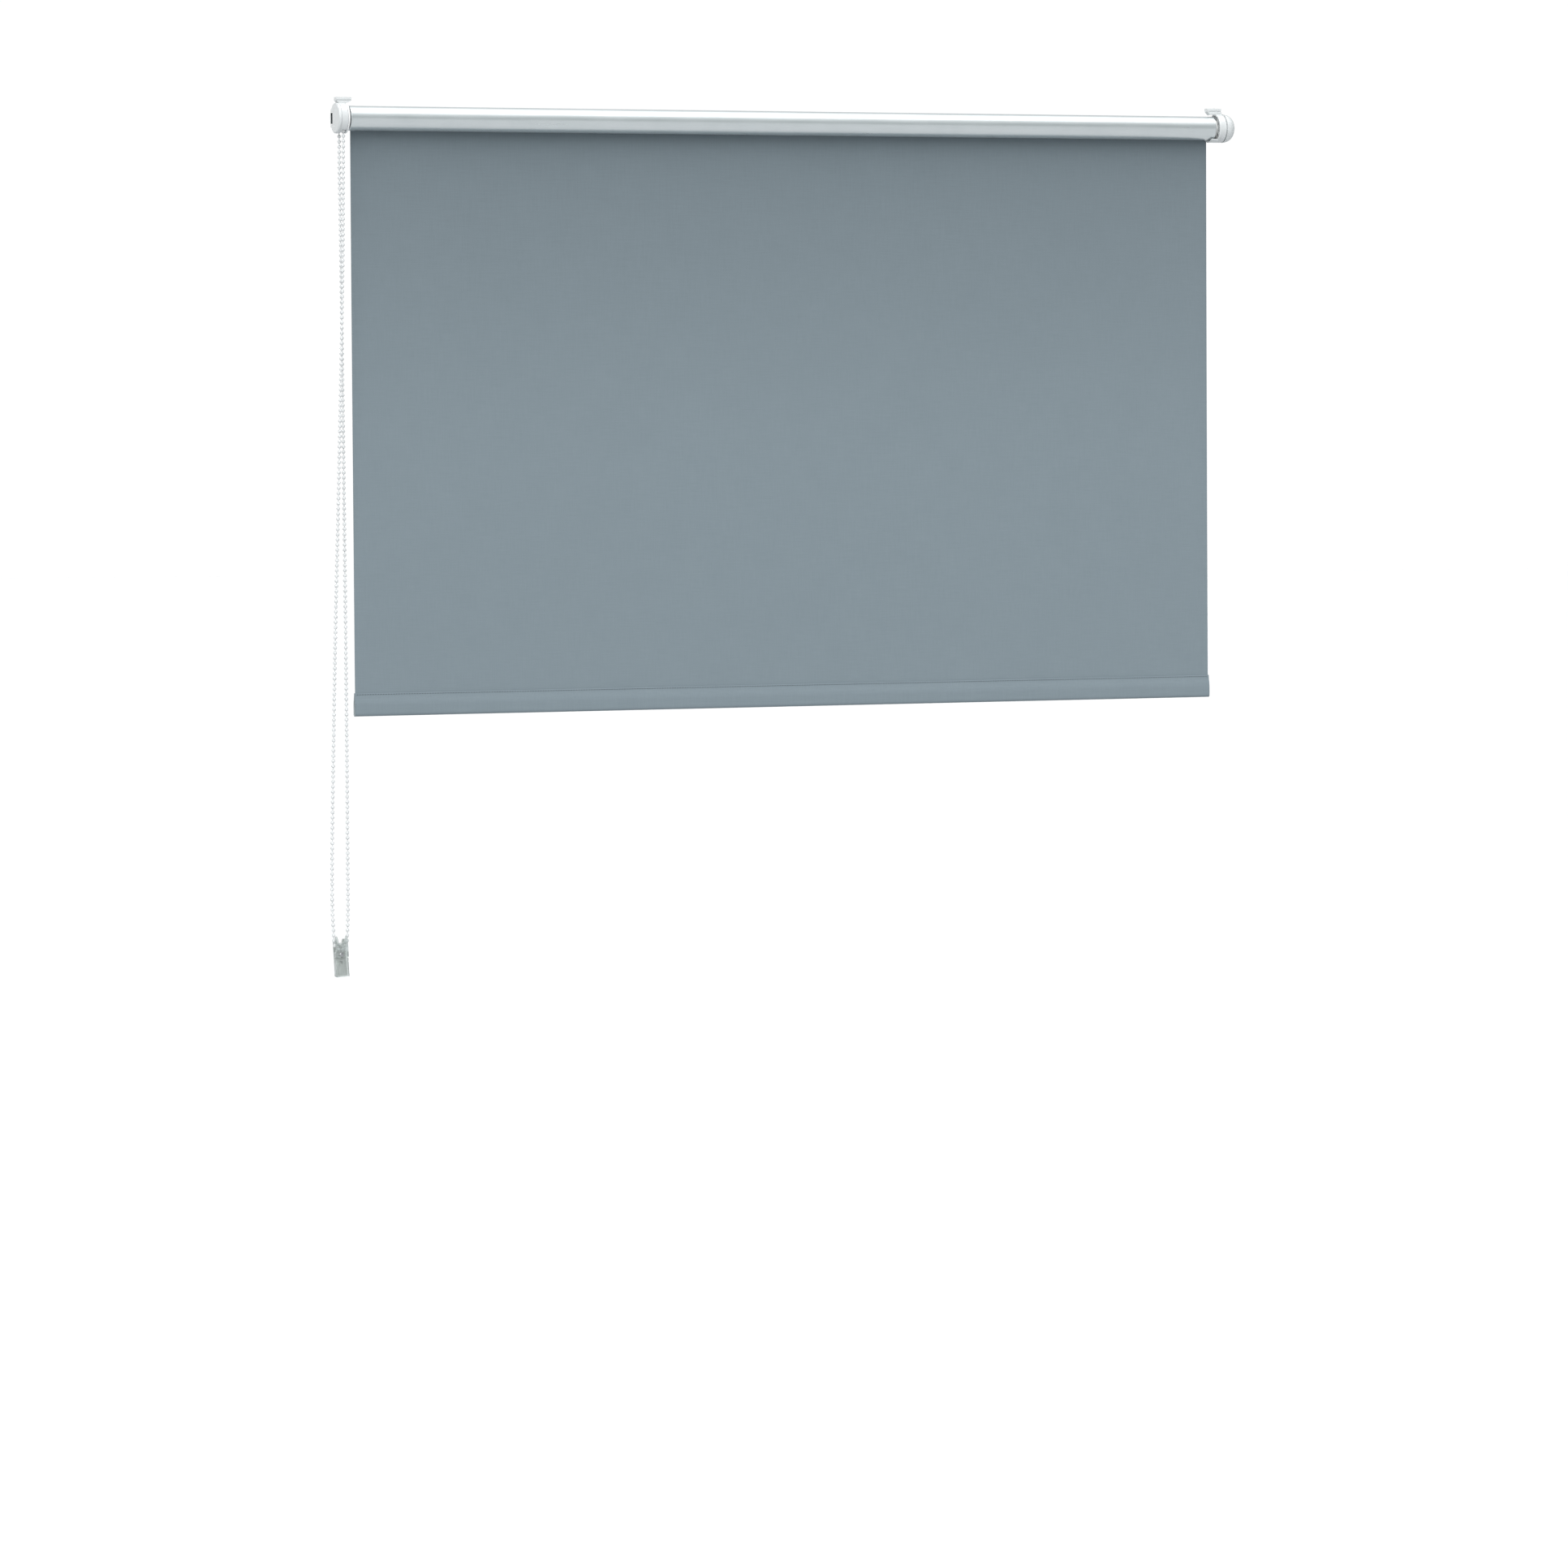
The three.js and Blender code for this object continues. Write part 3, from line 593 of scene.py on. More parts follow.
def makeChain():
    route = hangingRoute()
    # the first bead hangs one pitch under the sprocket's last bead
    lastPocket = -sprocketPitch * math.sin(math.pi / chainSet["pockets"])
    first = strandTop - (lastPocket - chainSet["pitch"])
    spare = lineLength(route) - 2 * first
    pitch = spare / round(spare / chainSet["pitch"])
    places = evenSteps(route, pitch, first)
    shape = chainShape(places)
    ends = []
    for end, pocketSide in ((places[0], -1), (places[-1], 1)):
        across = pocketSide * sprocketPitch * math.cos(math.pi / chainSet["pockets"])
        pocket = Vector((sprocketX, across, lastPocket))
        pull = (pocket - end).normalized() * (chainSet["bead"] / 2 - chainSet["cordInBead"])
        start, stop = end + pull, pocket - pull * 0.9
        rodBetween(shape, start, stop, chainSet["cord"] / 2, chainSet["cordSides"], capped=False)
        ends.append(pocket - pull)
    route = [ends[0], *route, ends[1]]
    replaced = ["chain_front_strand", "chain_bottom_loop", "chain_back_strand"]
    chain = finishPiece("beadChain", shape, "root", [beadPlastic], replaced, 60)
    up = Vector((0, 0, axisHeight))
    path = [p * millimetre + up for p in evenSteps(route, 4.0)]
    length = lineLength(route)
    print("  hanging chain", round(length), "mm,", len(places), "beads, pitch", round(pitch, 3))
    return chain, path, length * millimetre


def makeWrapBeads():
    half = math.pi / chainSet["pockets"]
    places = []
    for i in range(chainSet["wrapBeads"]):
        angle = (2 * i - 1) * half
        places.append(Vector((sprocketX, math.cos(angle), math.sin(angle))))
        places[-1].yz = places[-1].yz * sprocketPitch
    shape = chainShape(places)
    finishPiece("sprocketBeads", shape, "roller", [beadPlastic], ["chain_wrap"], 60)


beadChain, chainPath, chainLength = makeChain()
makeWrapBeads()

# ---- drive end ----
print("blind: drive end")
coverLow, coverHigh = limits("drive_cover")
guardLow, guardHigh = limits("chain_guard")
bracketLow, bracketHigh = limits("drive_bracket")
driveSet = {
    "radius": coverHigh.z,
    "wall": 1.8,
    "web": 1.3,
    "coverEdge": 1.4,
    "coverFace": 1.6,
    "slotWidth": 7.4,
    "slotHeight": 15.6,
    "catch": 1.5,
    # thickness of the dark lining that paints the shade in the cover's slot
    "shadeLining": 0.4,
    "slotFromRim": 2.2,
    "spindle": 4.0,
    "spindleEnd": 3.1,
    "ribTurns": (40, 90, 140, 220, 320),
    "clearance": 0.05,
    "guardBore": 7.6,
}
headSet = {
    "width": 18.4,
    "depth": 9.0,
    "plate": 3.7,
    "flank": (4.0, 4.4),
    "rightFlank": (2.9, 2.3),
    "footReach": 5.9,
}


def headShapes(middle, top, footRight, footBottom):
    # the T head: a plate, sloping flanks under both wings, and the foot that joins the bracket
    half = headSet["width"] / 2
    plateBottom = top - headSet["plate"]
    outline = [
        (middle - half, top), (middle + half, top), (middle + half, plateBottom),
        (middle + half - headSet["rightFlank"][0], plateBottom - headSet["rightFlank"][1]),
        (middle - half + headSet["flank"][0], plateBottom - headSet["flank"][1]),
        (middle - half, plateBottom),
    ]
    halfDepth = headSet["depth"] / 2
    head = plateShape(outline, -halfDepth, halfDepth)
    foot = boxShape(
        (middle - headSet["footReach"], -halfDepth + 0.2, footBottom),
        (footRight, halfDepth - 0.2, plateBottom - 1),
    )
    groove = boxShape(
        (middle - half - 1, -halfDepth - 1, plateBottom - 0.2),
        (middle + half + 1, -halfDepth + 1.0, plateBottom + 0.7),
    )
    return head, foot, groove


def makeDriveBracket():
    left, right = coverHigh.x + touchGap, guardLow.x - touchGap
    outer, inner = driveSet["radius"], driveSet["radius"] - driveSet["wall"]
    middle = (bracketLow.x + bracketHigh.x) / 2
    drum = turnOutline([
        (left, 0), (left, outer - 0.3), (left + 0.3, outer), (right - 0.3, outer), (right, outer - 0.3),
        (right, inner), (left + driveSet["web"] + 0.5, inner), (left + driveSet["web"], inner - 0.5),
        (left + driveSet["web"], 0),
    ])
    head, foot, groove = headShapes(middle, bracketHigh.z, right, inner + 0.6)
    ribLow, ribHigh = (left + 0.5, -0.6, inner - 3.6), (left + 3.2, 0.6, inner + 0.6)
    ribs = ribsAbout(ribLow, ribHigh, driveSet["ribTurns"])
    outletHalf = sprocketPitch + chainSet["bead"] / 2 + 1
    sides = chainSet["bead"] / 2 + 0.4
    outlet = boxShape(
        (sprocketX - sides, -outletHalf, -outer - 1), (sprocketX + sides, outletHalf, 6 - inner)
    )
    bore = rodShape(left - 1, left + 4, driveSet["spindleEnd"] + 0.3)
    shape = combine(drum, [head, foot, *ribs], [outlet, bore, groove])
    looks = [clearPlastic]
    finishPiece("driveBracket", shape, "root", looks, ["drive_bracket"], 32, 0.18)


def makeDriveCover():
    left, right, outer = coverLow.x, coverHigh.x, driveSet["radius"]
    inner = outer - driveSet["wall"]
    edge = driveSet["coverEdge"]
    rim = []
    for i in range(7):
        angle = math.pi / 2 * i / 6
        rim.append((left + edge * (1 - math.sin(angle)), outer - edge * (1 - math.cos(angle))))
    rim.reverse()
    cap = turnOutline([
        (left, 0), *rim, (right, outer), (right, inner), (left + driveSet["coverFace"], inner - 0.4),
        (left + driveSet["coverFace"], 0),
    ])
    slotMiddle = outer - driveSet["slotFromRim"] - driveSet["slotWidth"] / 2
    halfWidth, halfHeight = driveSet["slotWidth"] / 2, driveSet["slotHeight"] / 2
    sleeve = boxShape(
        (left + 0.4, slotMiddle - halfWidth - 0.9, -halfHeight - 2.6),
        (right - 0.2, slotMiddle + halfWidth + 0.7, halfHeight + 2.6),
    )
    slot = boxShape(
        (left - 1, slotMiddle - halfWidth, -halfHeight), (right + 1, slotMiddle + halfWidth, halfHeight)
    )
    shape = combine(cap, [sleeve], [slot])
    finishPiece("driveCover", shape, "root", [clearPlastic], ["drive_cover"], 32, 0.2)
    # a thin dark lining, open at the face, which paints the shade inside the slot
    clearance = driveSet["clearance"]
    shadeLining = []
    for start, inset in ((left + 0.5, clearance), (left, clearance + driveSet["shadeLining"])):
        shadeLining.append(boxShape(
            (start, slotMiddle - halfWidth + inset, -halfHeight + inset),
            (right - inset, slotMiddle + halfWidth - inset, halfHeight - inset),
        ))
    shadeLiner = combine(shadeLining[0], [], shadeLining[1:])
    # a white catch at each end of the slot
    for side, name in ((-1, "slotCatchLow"), (1, "slotCatchHigh")):
        end = side * (halfHeight - driveSet["catch"] / 2 - clearance)
        catch = boxShape(
            (left + 0.02, slotMiddle - halfWidth + clearance, end - driveSet["catch"] / 2),
            (left + 0.48, slotMiddle + halfWidth - clearance, end + driveSet["catch"] / 2),
        )
        softenEdges(catch, 0.12)
        finishPiece(name, catch, "root", [whitePlastic])
    finishPiece("slotShadeLiner", shadeLiner, "root", [paintedShadePlastic])


def makeChainGuard():
    left, right, outer, bore = guardLow.x, guardHigh.x, driveSet["radius"], driveSet["guardBore"]
    shape = turnOutline([
        (left, bore), (left, outer - 0.4), (left + 0.3, outer - 0.1), (right - 0.7, outer - 0.1),
        (right - 0.5, outer), (right - 0.15, outer), (right, outer - 0.2), (right, outer - 1.6),
        (right - 0.5, outer - 1.9), (right - 0.5, bore),
    ])
    finishPiece("chainGuard", shape, "root", [milkyPlastic], ["chain_guard"])


def makeSprocket():
    half = (sprocketHigh.x - sprocketLow.x) / 2
    outer, bore = sprocketPitch + 1.6, driveSet["spindle"] + 0.4
    body = turnOutline([
        (sprocketX - half, bore), (sprocketX - half, outer - 0.6), (sprocketX - half + 0.6, outer),
        (sprocketX - 0.95, outer), (sprocketX - 0.95, outer - 3.2), (sprocketX + 0.95, outer - 3.2),
        (sprocketX + 0.95, outer), (sprocketX + half - 0.6, outer), (sprocketX + half, outer - 0.6),
        (sprocketX + half, bore),
    ], 64)
    pockets = []
    for i in range(chainSet["pockets"]):
        angle = 2 * math.pi * (i + 0.5) / chainSet["pockets"]
        pocket = bmesh.new()
        place = Vector((sprocketX, sprocketPitch * math.cos(angle), sprocketPitch * math.sin(angle)))
        bmesh.ops.create_uvsphere(
            pocket, u_segments=20, v_segments=12, radius=chainSet["bead"] / 2 + 0.3,
            matrix=Matrix.Translation(place),
        )
        pockets.append(pocket)
    shape = combine(body, [], pockets)
    finishPiece("chainSprocket", shape, "roller", [whitePlastic], ["chain_sprocket"])


makeDriveBracket()
makeDriveCover()
makeChainGuard()
makeSprocket()

# ---- roller: tube, collar, wound cloth ----
print("blind: roller")
rollLow, rollHigh = limits("wound_cloth")
tubeLow, tubeHigh = limits("roller_tube")
sheetLow, sheetHigh = limits("hanging_cloth")
collarLow = limits("guide_collar")[0]
halfCloth = rollHigh.x
rollSet = {
    "bore": 10.6,
    "layer": 0.3,
    "thickness": 0.27,
    "sidesPerTurn": 88,
    "lengthSteps": 24,
    "tubeRadius": 10.0,
    "tubeWall": 0.8,
}
outerLap = rollHigh.z + 0.1  # middle of the last lap, where the cloth leaves the roll


def sheetObject(name, shape, thickness, body, replaces, facing, silverOut=False):
    # cloth with its matt face on one side and its silver back on the other; facing gives the outer side
    shape.normal_update()
    shape.faces.ensure_lookup_table()
    face = shape.faces[0]
    if face.normal.dot(facing(face.calc_center_median())) < 0:
        bmesh.ops.reverse_faces(shape, faces=shape.faces)
    sides = [clothBack, clothFront] if silverOut else [clothFront, clothBack]
    piece = finishPiece(name, shape, body, sides, replaces, 60)
    solid = piece.modifiers.new("thickness", "SOLIDIFY")
    solid.thickness = thickness * millimetre
    solid.offset = 0
    solid.use_even_offset = True
    solid.material_offset = 1
    solid.material_offset_rim = 0
    # the thin rim leaves the shading alone
    even = piece.modifiers.new("evenNormals", "WEIGHTED_NORMAL")
    even.mode = "FACE_AREA"
    even.weight = 100
    return piece


def outFromAxis(point):
    return Vector((0, point.y, point.z))


def toRoom(point):
    return Vector((0, -1, 0))


def makeWoundCloth():
    turns = (outerLap - rollSet["bore"]) / rollSet["layer"]
    steps = round(turns * rollSet["sidesPerTurn"])
    shape = bmesh.new()
    bmesh.ops.create_grid(shape, x_segments=rollSet["lengthSteps"], y_segments=steps, size=0.5)
    for vert in shape.verts:
        # zero at the outer end, where the cloth leaves
        angle = (vert.co.y - 0.5) * turns * 2 * math.pi
        radius = outerLap + angle / (2 * math.pi) * rollSet["layer"]
        x = vert.co.x * 2 * halfCloth
        vert.co = (x, radius * math.cos(angle), -radius * math.sin(angle))
    length = (outerLap + rollSet["bore"]) * math.pi * turns
    thickness = rollSet["thickness"]
    cloth = sheetObject("woundCloth", shape, thickness, "roller", ["wound_cloth"], outFromAxis, True)
    return cloth, length * millimetre


def makeRollerTube():
    outer, inner = rollSet["tubeRadius"], rollSet["tubeRadius"] - rollSet["tubeWall"]
    left, right = tubeLow.x, tubeHigh.x
    shape = turnOutline([
        (left, inner), (left, outer - 0.15), (left + 0.15, outer), (right - 0.15, outer),
        (right, outer - 0.15), (right, inner),
    ])
    finishPiece("rollerTube", shape, "roller", [satinAluminium], ["roller_tube"])


def makeGuideCollar():
    # it reaches the cloth and is as thick, so that the silver runs on over the join
    left, right, outer = collarLow.x + 0.7, rollLow.x - 0.04, outerLap + rollSet["thickness"] / 2
    inner = rollSet["tubeRadius"] + 0.1
    shape = turnOutline([
        (left, inner), (left, outer - 0.9), (left + 0.25, outer - 0.3), (left + 0.7, outer),
        (right - 0.05, outer), (right, outer - 0.05), (right, inner),
    ])
    finishPiece("guideCollar", shape, "roller", [clothBack], ["guide_collar"])


woundCloth, woundLength = makeWoundCloth()
makeRollerTube()
makeGuideCollar()

# ---- spindle, adapter, plug and pin ----
print("blind: shafts")
plugLow, plugHigh = limits("end_plug")
pinLow, pinHigh = limits("idle_pin")
spindleLow, spindleHigh = limits("drive_spindle")
adapterLow, adapterHigh = limits("tube_adapter")
armLow, armHigh = limits("idle_bracket")
bushLow, bushHigh = limits("pin_bush")
shaftSet = {
    "plugFlange": 11.4,
    "plugFlangeDepth": 1.5,
    "pinRadius": 2.5,
    "adapterNeck": 6.2,
    "adapterFlange": 13.2,
    "springCoils": 5,
    "springRadius": 2.4,
    "springWire": 0.6,
}


def makeSpindle():
    left, right, radius = spindleLow.x, spindleHigh.x, driveSet["spindle"]
    end = driveSet["spindleEnd"]
    shoulder = left + driveSet["web"] + 0.5
    shape = turnOutline([
        (left, 0), (left, end - 0.3), (left + 0.3, end), (shoulder, end), (shoulder, radius),
        (right - 0.6, radius), (right, radius - 0.6), (right, 0),
    ], 48)
    shape = combine(shape, [], crossSlot(left, 0.8, 2, 0.5))
    finishPiece("driveSpindle", shape, "root", [whitePlastic], ["drive_spindle"])


def makeAdapter():
    # neck, flange and ribbed plug
    left, right = adapterLow.x, adapterHigh.x
    bore = driveSet["spindle"] + 0.4
    flangeLeft, flangeRight = guardHigh.x + 0.5, collarLow.x + 0.5
    core, ribOuter = 7.2, rollSet["tubeRadius"] - rollSet["tubeWall"] - touchGap
    body = turnOutline([
        (left, bore), (left, shaftSet["adapterNeck"]), (flangeLeft, shaftSet["adapterNeck"]),
        (flangeLeft, shaftSet["adapterFlange"] - 0.2), (flangeLeft + 0.2, shaftSet["adapterFlange"]),
        (flangeRight, shaftSet["adapterFlange"]), (flangeRight, core), (right - 0.8, core),
        (right, core - 0.8), (right, 5.6), (right - 10, 5.6), (right - 11, bore),
    ], 64)
    ribLow, ribHigh = (flangeRight - 0.1, -0.8, core - 0.4), (right - 1.5, 0.8, ribOuter)
    ribs = ribsAbout(ribLow, ribHigh, range(0, 360, 60))
    shape = combine(body, ribs)
    # its dark colour paints the shade of the narrow gap between chain guard and collar, where the flange
    # shows
    finishPiece("tubeAdapter", shape, "roller", [paintedShadePlastic], ["tube_adapter"])


def makePlug():
    left, right = plugLow.x, plugHigh.x
    radius = rollSet["tubeRadius"] - rollSet["tubeWall"] - touchGap
    flangeLeft = right - shaftSet["plugFlangeDepth"]
    pinBore = shaftSet["pinRadius"] + 0.4
    shape = turnOutline([
        (left, 0), (left, radius - 1), (left + 1, radius), (flangeLeft, radius),
        (flangeLeft, shaftSet["plugFlange"] - 0.2), (flangeLeft + 0.2, shaftSet["plugFlange"]),
        (right - 0.35, shaftSet["plugFlange"]), (right, shaftSet["plugFlange"] - 0.35), (right, 8.2),
        (right - 0.5, 7.9), (right - 0.5, 6.0), (right, 5.7), (right, pinBore), (right - 5.8, pinBore),
        (right - 5.8, 3.8), (left + 2, 3.8), (left + 2, 0),
    ], 72)
    finishPiece("endPlug", shape, "roller", [whitePlastic], ["end_plug"])


def makePin():
    left, right, radius = pinLow.x, pinHigh.x, shaftSet["pinRadius"]
    nose = plugHigh.x - 5.8
    shape = turnOutline([
        (left, 0), (left, radius - 0.2), (left + 0.2, radius), (nose - 2.6, radius), (nose - 2.6, 3.4),
        (nose - 0.3, 3.4), (nose - 0.3, radius), (right - 1.0, radius), (right - 0.5, radius - 0.3),
        (right - 0.1, radius - 0.9), (right, radius - 1.5), (right, 0),
    ], 48)
    finishPiece("idlePin", shape, "idle_pin", [whitePlastic], ["idle_pin"])
    bush = turnOutline([
        (bushLow.x, radius + 0.08), (bushLow.x, bushHigh.z - 0.2), (bushLow.x + 0.2, bushHigh.z),
        (bushHigh.x - 0.2, bushHigh.z), (bushHigh.x, bushHigh.z - 0.2), (bushHigh.x, radius + 0.08),
    ], 48)
    finishPiece("pinBush", bush, "root", [whitePlastic], ["pin_bush"])


def makePinSpring():
    left, right = limits("pin_spring")
    coil, steps, radius = shaftSet["springCoils"], 24, shaftSet["springRadius"]
    line = bpy.data.curves.new("pinSpring", "CURVE")
    line.dimensions = "3D"
    line.bevel_depth = shaftSet["springWire"] / 2
    line.bevel_resolution = 2
    line.use_fill_caps = True
    spline = line.splines.new("POLY")
    spline.points.add(coil * steps)
    start, end = left.x + shaftSet["springWire"] / 2, right.x - shaftSet["springWire"] / 2
    for i, point in enumerate(spline.points):
        angle = 2 * math.pi * i / steps
        x = start + (end - start) * i / (coil * steps)
        point.co = (x, radius * math.cos(angle), radius * math.sin(angle), 1)
    holder = bpy.data.objects.new("pinSpring", line)
    shape = bmesh.new()
    shape.from_mesh(holder.to_mesh())
    bpy.data.objects.remove(holder)
    spring = finishPiece("pinSpring", shape, None, [springSteel], ["pin_spring"], 60)
    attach(spring, "roller")
    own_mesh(spring)


makeSpindle()
makeAdapter()
makePlug()
makePin()
makePinSpring()
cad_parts["adhesive_tape"].material_slots[0].material = foamPad
for wireNode in ("wrap_spring", "spindle_clip"):
    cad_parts[wireNode].material_slots[0].material = springSteel

# ---- idle end ----
print("blind: idle end")
domeLow, domeHigh = limits("idle_cover")
idleSet = {
    "rim": 2.0,
    "web": 2.0,
    "webFrom": 4.0,
    "hub": 5.9,
    "lipWall": 1.3,
    "lipSpan": 36,
    "lipReach": 8.5,
    "ribTurns": (45, 135, 225, 315),
    "domeWall": 1.6,
    "domeSteps": 18,
    "fullness": 0.66,
    "domeRings": (5.5, 9.5),
    "lipInArm": 1.6,
    "armDepth": 9.0,
    "gap": 1.2,
}


def makeIdleBracket():
    radius = domeHigh.z
    right = domeLow.x + idleSet["lipInArm"]
    left = right - idleSet["armDepth"]
    inner = radius - idleSet["rim"]
    middle = armLow.x + headSet["width"] / 2
    web, hub, bore = left + idleSet["webFrom"], idleSet["hub"], bushHigh.z + 0.1
    webEnd = web + idleSet["web"]
    arm = turnOutline([
        (left, inner), (left, radius - 0.5), (left + 0.5, radius), (right - 0.5, radius),
        (right, radius - 0.5), (right, inner), (webEnd + 0.4, inner), (webEnd, inner - 0.4),
        (webEnd, hub + 0.4), (webEnd + 0.4, hub), (right, hub), (right, bore), (left + 0.6, bore),
        (left + 0.6, hub), (web - 0.4, hub), (web, hub + 0.4), (web, inner - 0.4), (web - 0.4, inner),
    ])
    head, foot, groove = headShapes(middle, armHigh.z, right - 0.8, radius - 0.9)
    lip = ringShape(left - idleSet["lipReach"], left + 0.5, radius, radius - idleSet["lipWall"])
    # the lip is only the stretch of the ring under the roller's end
    for side in (-1, 1):
        turn = math.radians(idleSet["lipSpan"]) * side
        normal = Vector((0, math.cos(turn) * side, math.sin(turn) * side))
        made = bmesh.ops.bisect_plane(
            lip, geom=lip.verts[:] + lip.edges[:] + lip.faces[:], dist=0.0001,
            plane_co=(0, 0, 0), plane_no=normal, clear_outer=True,
        )
        edges = [e for e in made["geom_cut"] if isinstance(e, bmesh.types.BMEdge)]
        bmesh.ops.edgenet_fill(lip, edges=edges)
    bmesh.ops.recalc_face_normals(lip, faces=lip.faces)
    ribs = ribsAbout((web - 2.2, -0.6, hub - 0.3), (web + 0.5, 0.6, inner + 0.4), idleSet["ribTurns"])
    shape = combine(arm, [lip, head, foot, *ribs], [groove])
    finishPiece("idleBracket", shape, "root", [clearPlastic], ["idle_bracket"], 32, 0.18)


def makeIdleCover():
    # domed shell: outer curve with two faint steps, inner curve, and the lip that snaps into the arm
    base, apex, radius = domeLow.x + idleSet["lipInArm"] + idleSet["gap"], domeHigh.x, domeHigh.z
    height = apex - base
    wall = idleSet["domeWall"]
    outer, inner = [], []
    steps, hollow = idleSet["domeSteps"], radius - wall - 1.2
    for i in range(steps + 1):
        angle = math.pi / 2 * i / steps
        full = math.cos(angle) ** idleSet["fullness"]
        across = radius * full if i < steps else 0
        raised = 0.22 if any(abs(across - ring) < 0.9 for ring in idleSet["domeRings"]) else 0
        outer.append((base + height * math.sin(angle) - raised, across))
        if i < steps:
            inner.append((base + (height - wall) * math.sin(angle), hollow * full))
    inner.append((apex - wall, 0))
    lipRadius = radius - idleSet["rim"] - touchGap
    shape = turnOutline([
        *reversed(outer), (base, lipRadius), (domeLow.x + 0.3, lipRadius), (domeLow.x, lipRadius - 0.3),
        (domeLow.x, hollow), *inner,
    ], 112)
    finishPiece("idleCover", shape, "root", [clearPlastic], ["idle_cover"])


makeIdleBracket()
makeIdleCover()

# ---- hanging cloth ----
print("blind: hanging cloth")
hemLow, hemHigh = limits("hem_pocket")
clothSet = {
    "acrossSteps": 110,
    "downSteps": 72,
    "wave": 0.55,
    "edgeCurl": 1.6,
    "thickness": 0.3,
}
hemMiddle = (sheetLow.y + sheetHigh.y) / 2


def makeHangingCloth():
    shape = bmesh.new()
    bmesh.ops.create_grid(
        shape, x_segments=clothSet["acrossSteps"], y_segments=clothSet["downSteps"], size=0.5,
    )
    length = -sheetLow.z
    for vert in shape.verts:
        across, down = vert.co.x * 2, 0.5 - vert.co.y
        hang = math.sin(math.pi * down) ** 0.5 if 0 < down < 1 else 0
        wave = noise.noise(Vector((across * 2.2, down * 1.3, 4.0))) * clothSet["wave"] * hang
        curl = clothSet["edgeCurl"] * hang * (max(0, abs(across) - 0.97) / 0.03) ** 2 * 0.4
        y = outerLap + (hemMiddle - outerLap) * down + wave + curl
        vert.co = (across * halfCloth, y, -down * length)
    cloth = sheetObject("hangingCloth", shape, clothSet["thickness"], None, ["hanging_cloth"], toRoom)
    return cloth, length


hangingCloth, hangingLength = makeHangingCloth()
clothTop = Vector((0, outerLap * millimetre, axisHeight))
clothFoot = Vector((0, hemMiddle * millimetre, axisHeight - hangingLength * millimetre))
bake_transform(hangingCloth, "root", "hem", start=tuple(clothTop), end=tuple(clothFoot))
payOut = hangingCloth.data.attributes["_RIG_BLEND"]  # paid out evenly along its length
hangingDrop = clothTop.z - clothFoot.z
hangingShares = [(clothTop.z - vert.co.z) / hangingDrop for vert in hangingCloth.data.vertices]
payOut.data.foreach_set("value", [min(1.0, max(0.0, share)) for share in hangingShares])

# ---- hem ----
print("blind: hem")
barLow, barHigh = limits("hem_bar")
hemSet = {
    "thickness": 0.5,
    "lapAbove": 0.6,
    "stitchPitch": 3.2,
    "stitchLength": 2.5,
    "stitchRadius": 0.32,
    "stitchFrom": 0.86,
    "alongSteps": 120,
}


def hemOutline():
    # the folded cloth's middle line in Y and Z: front layer down, round the bar, back layer up
    half = (hemHigh.y - hemLow.y) / 2 - 0.45
    top, bottom = hemHigh.z + hemSet["lapAbove"], hemLow.z + 0.3
    front = [
        (-0.45, top), (-0.5, top - 2.2), (-0.9, top - 5), (-1.9, top - 8.5),
        (-half + 0.2, top - 12), (-half, top - 15), (-half, bottom + half + 1.5),
    ]
    fold = []
    for i in range(9):
        angle = math.pi * (1 + i / 8)
        fold.append((half * math.cos(angle), bottom + half + half * math.sin(angle)))
    back = [(-y, z) for y, z in reversed(front)]
    return [(hemMiddle + y, z) for y, z in front + fold + back]


def outFromHem(point):
    return Vector((0, point.y - hemMiddle, 0))


def makeHemPocket():
    shape = bmesh.new()
    corners = [shape.verts.new((hemLow.x, y, z)) for y, z in hemOutline()]
    edges = [shape.edges.new(pair) for pair in zip(corners, corners[1:])]
    step = (hemHigh.x - hemLow.x) / hemSet["alongSteps"]
    for i in range(hemSet["alongSteps"]):
        made = bmesh.ops.extrude_edge_only(shape, edges=edges)
        edges = [e for e in made["geom"] if isinstance(e, bmesh.types.BMEdge)]
        moved = [v for v in made["geom"] if isinstance(v, bmesh.types.BMVert)]
        bmesh.ops.translate(shape, verts=moved, vec=(step, 0, 0))
    for vert in shape.verts:
        drop = (hemHigh.z - vert.co.z) / (hemHigh.z - hemLow.z)
        pucker = noise.noise(Vector((vert.co.x * 0.05, vert.co.y * 0.02, 7))) * 0.35
        pucker += noise.noise(Vector((vert.co.x * 0.35, 2, vert.co.y * 0.1))) * 0.12 * (1 - drop)
        vert.co.y += pucker * max(0, min(1, drop * 2))
    bmesh.ops.recalc_face_normals(shape, faces=shape.faces)
    return sheetObject("hemPocket", shape, hemSet["thickness"], "hem", ["hem_pocket"], outFromHem)


def makeStitches():
    shape = bmesh.new()
    count = int((hemHigh.x - hemLow.x - 4) / hemSet["stitchPitch"])
    first = -hemSet["stitchPitch"] * (count - 1) / 2
    size = (hemSet["stitchLength"] / 2, hemSet["stitchRadius"], hemSet["stitchRadius"])
    for face in (-1, 1):
        for i in range(count):
            x = first + i * hemSet["stitchPitch"]
            place = Matrix.Translation((x, hemMiddle + face * hemSet["stitchFrom"], hemHigh.z - 1.1))
            stitch = place @ Matrix.Diagonal((*size, 1))
            bmesh.ops.create_icosphere(shape, subdivisions=1, radius=1.0, matrix=stitch)
    return finishPiece("hemStitches", shape, "hem", [seamThread], (), 80)


def roundBar(low, high, start, end, rounding):
    outline = rectangle(low.y, low.z, high.y, high.z)
    return plateShape(outline, start, end, "X", (rounding,) * 4, 6)


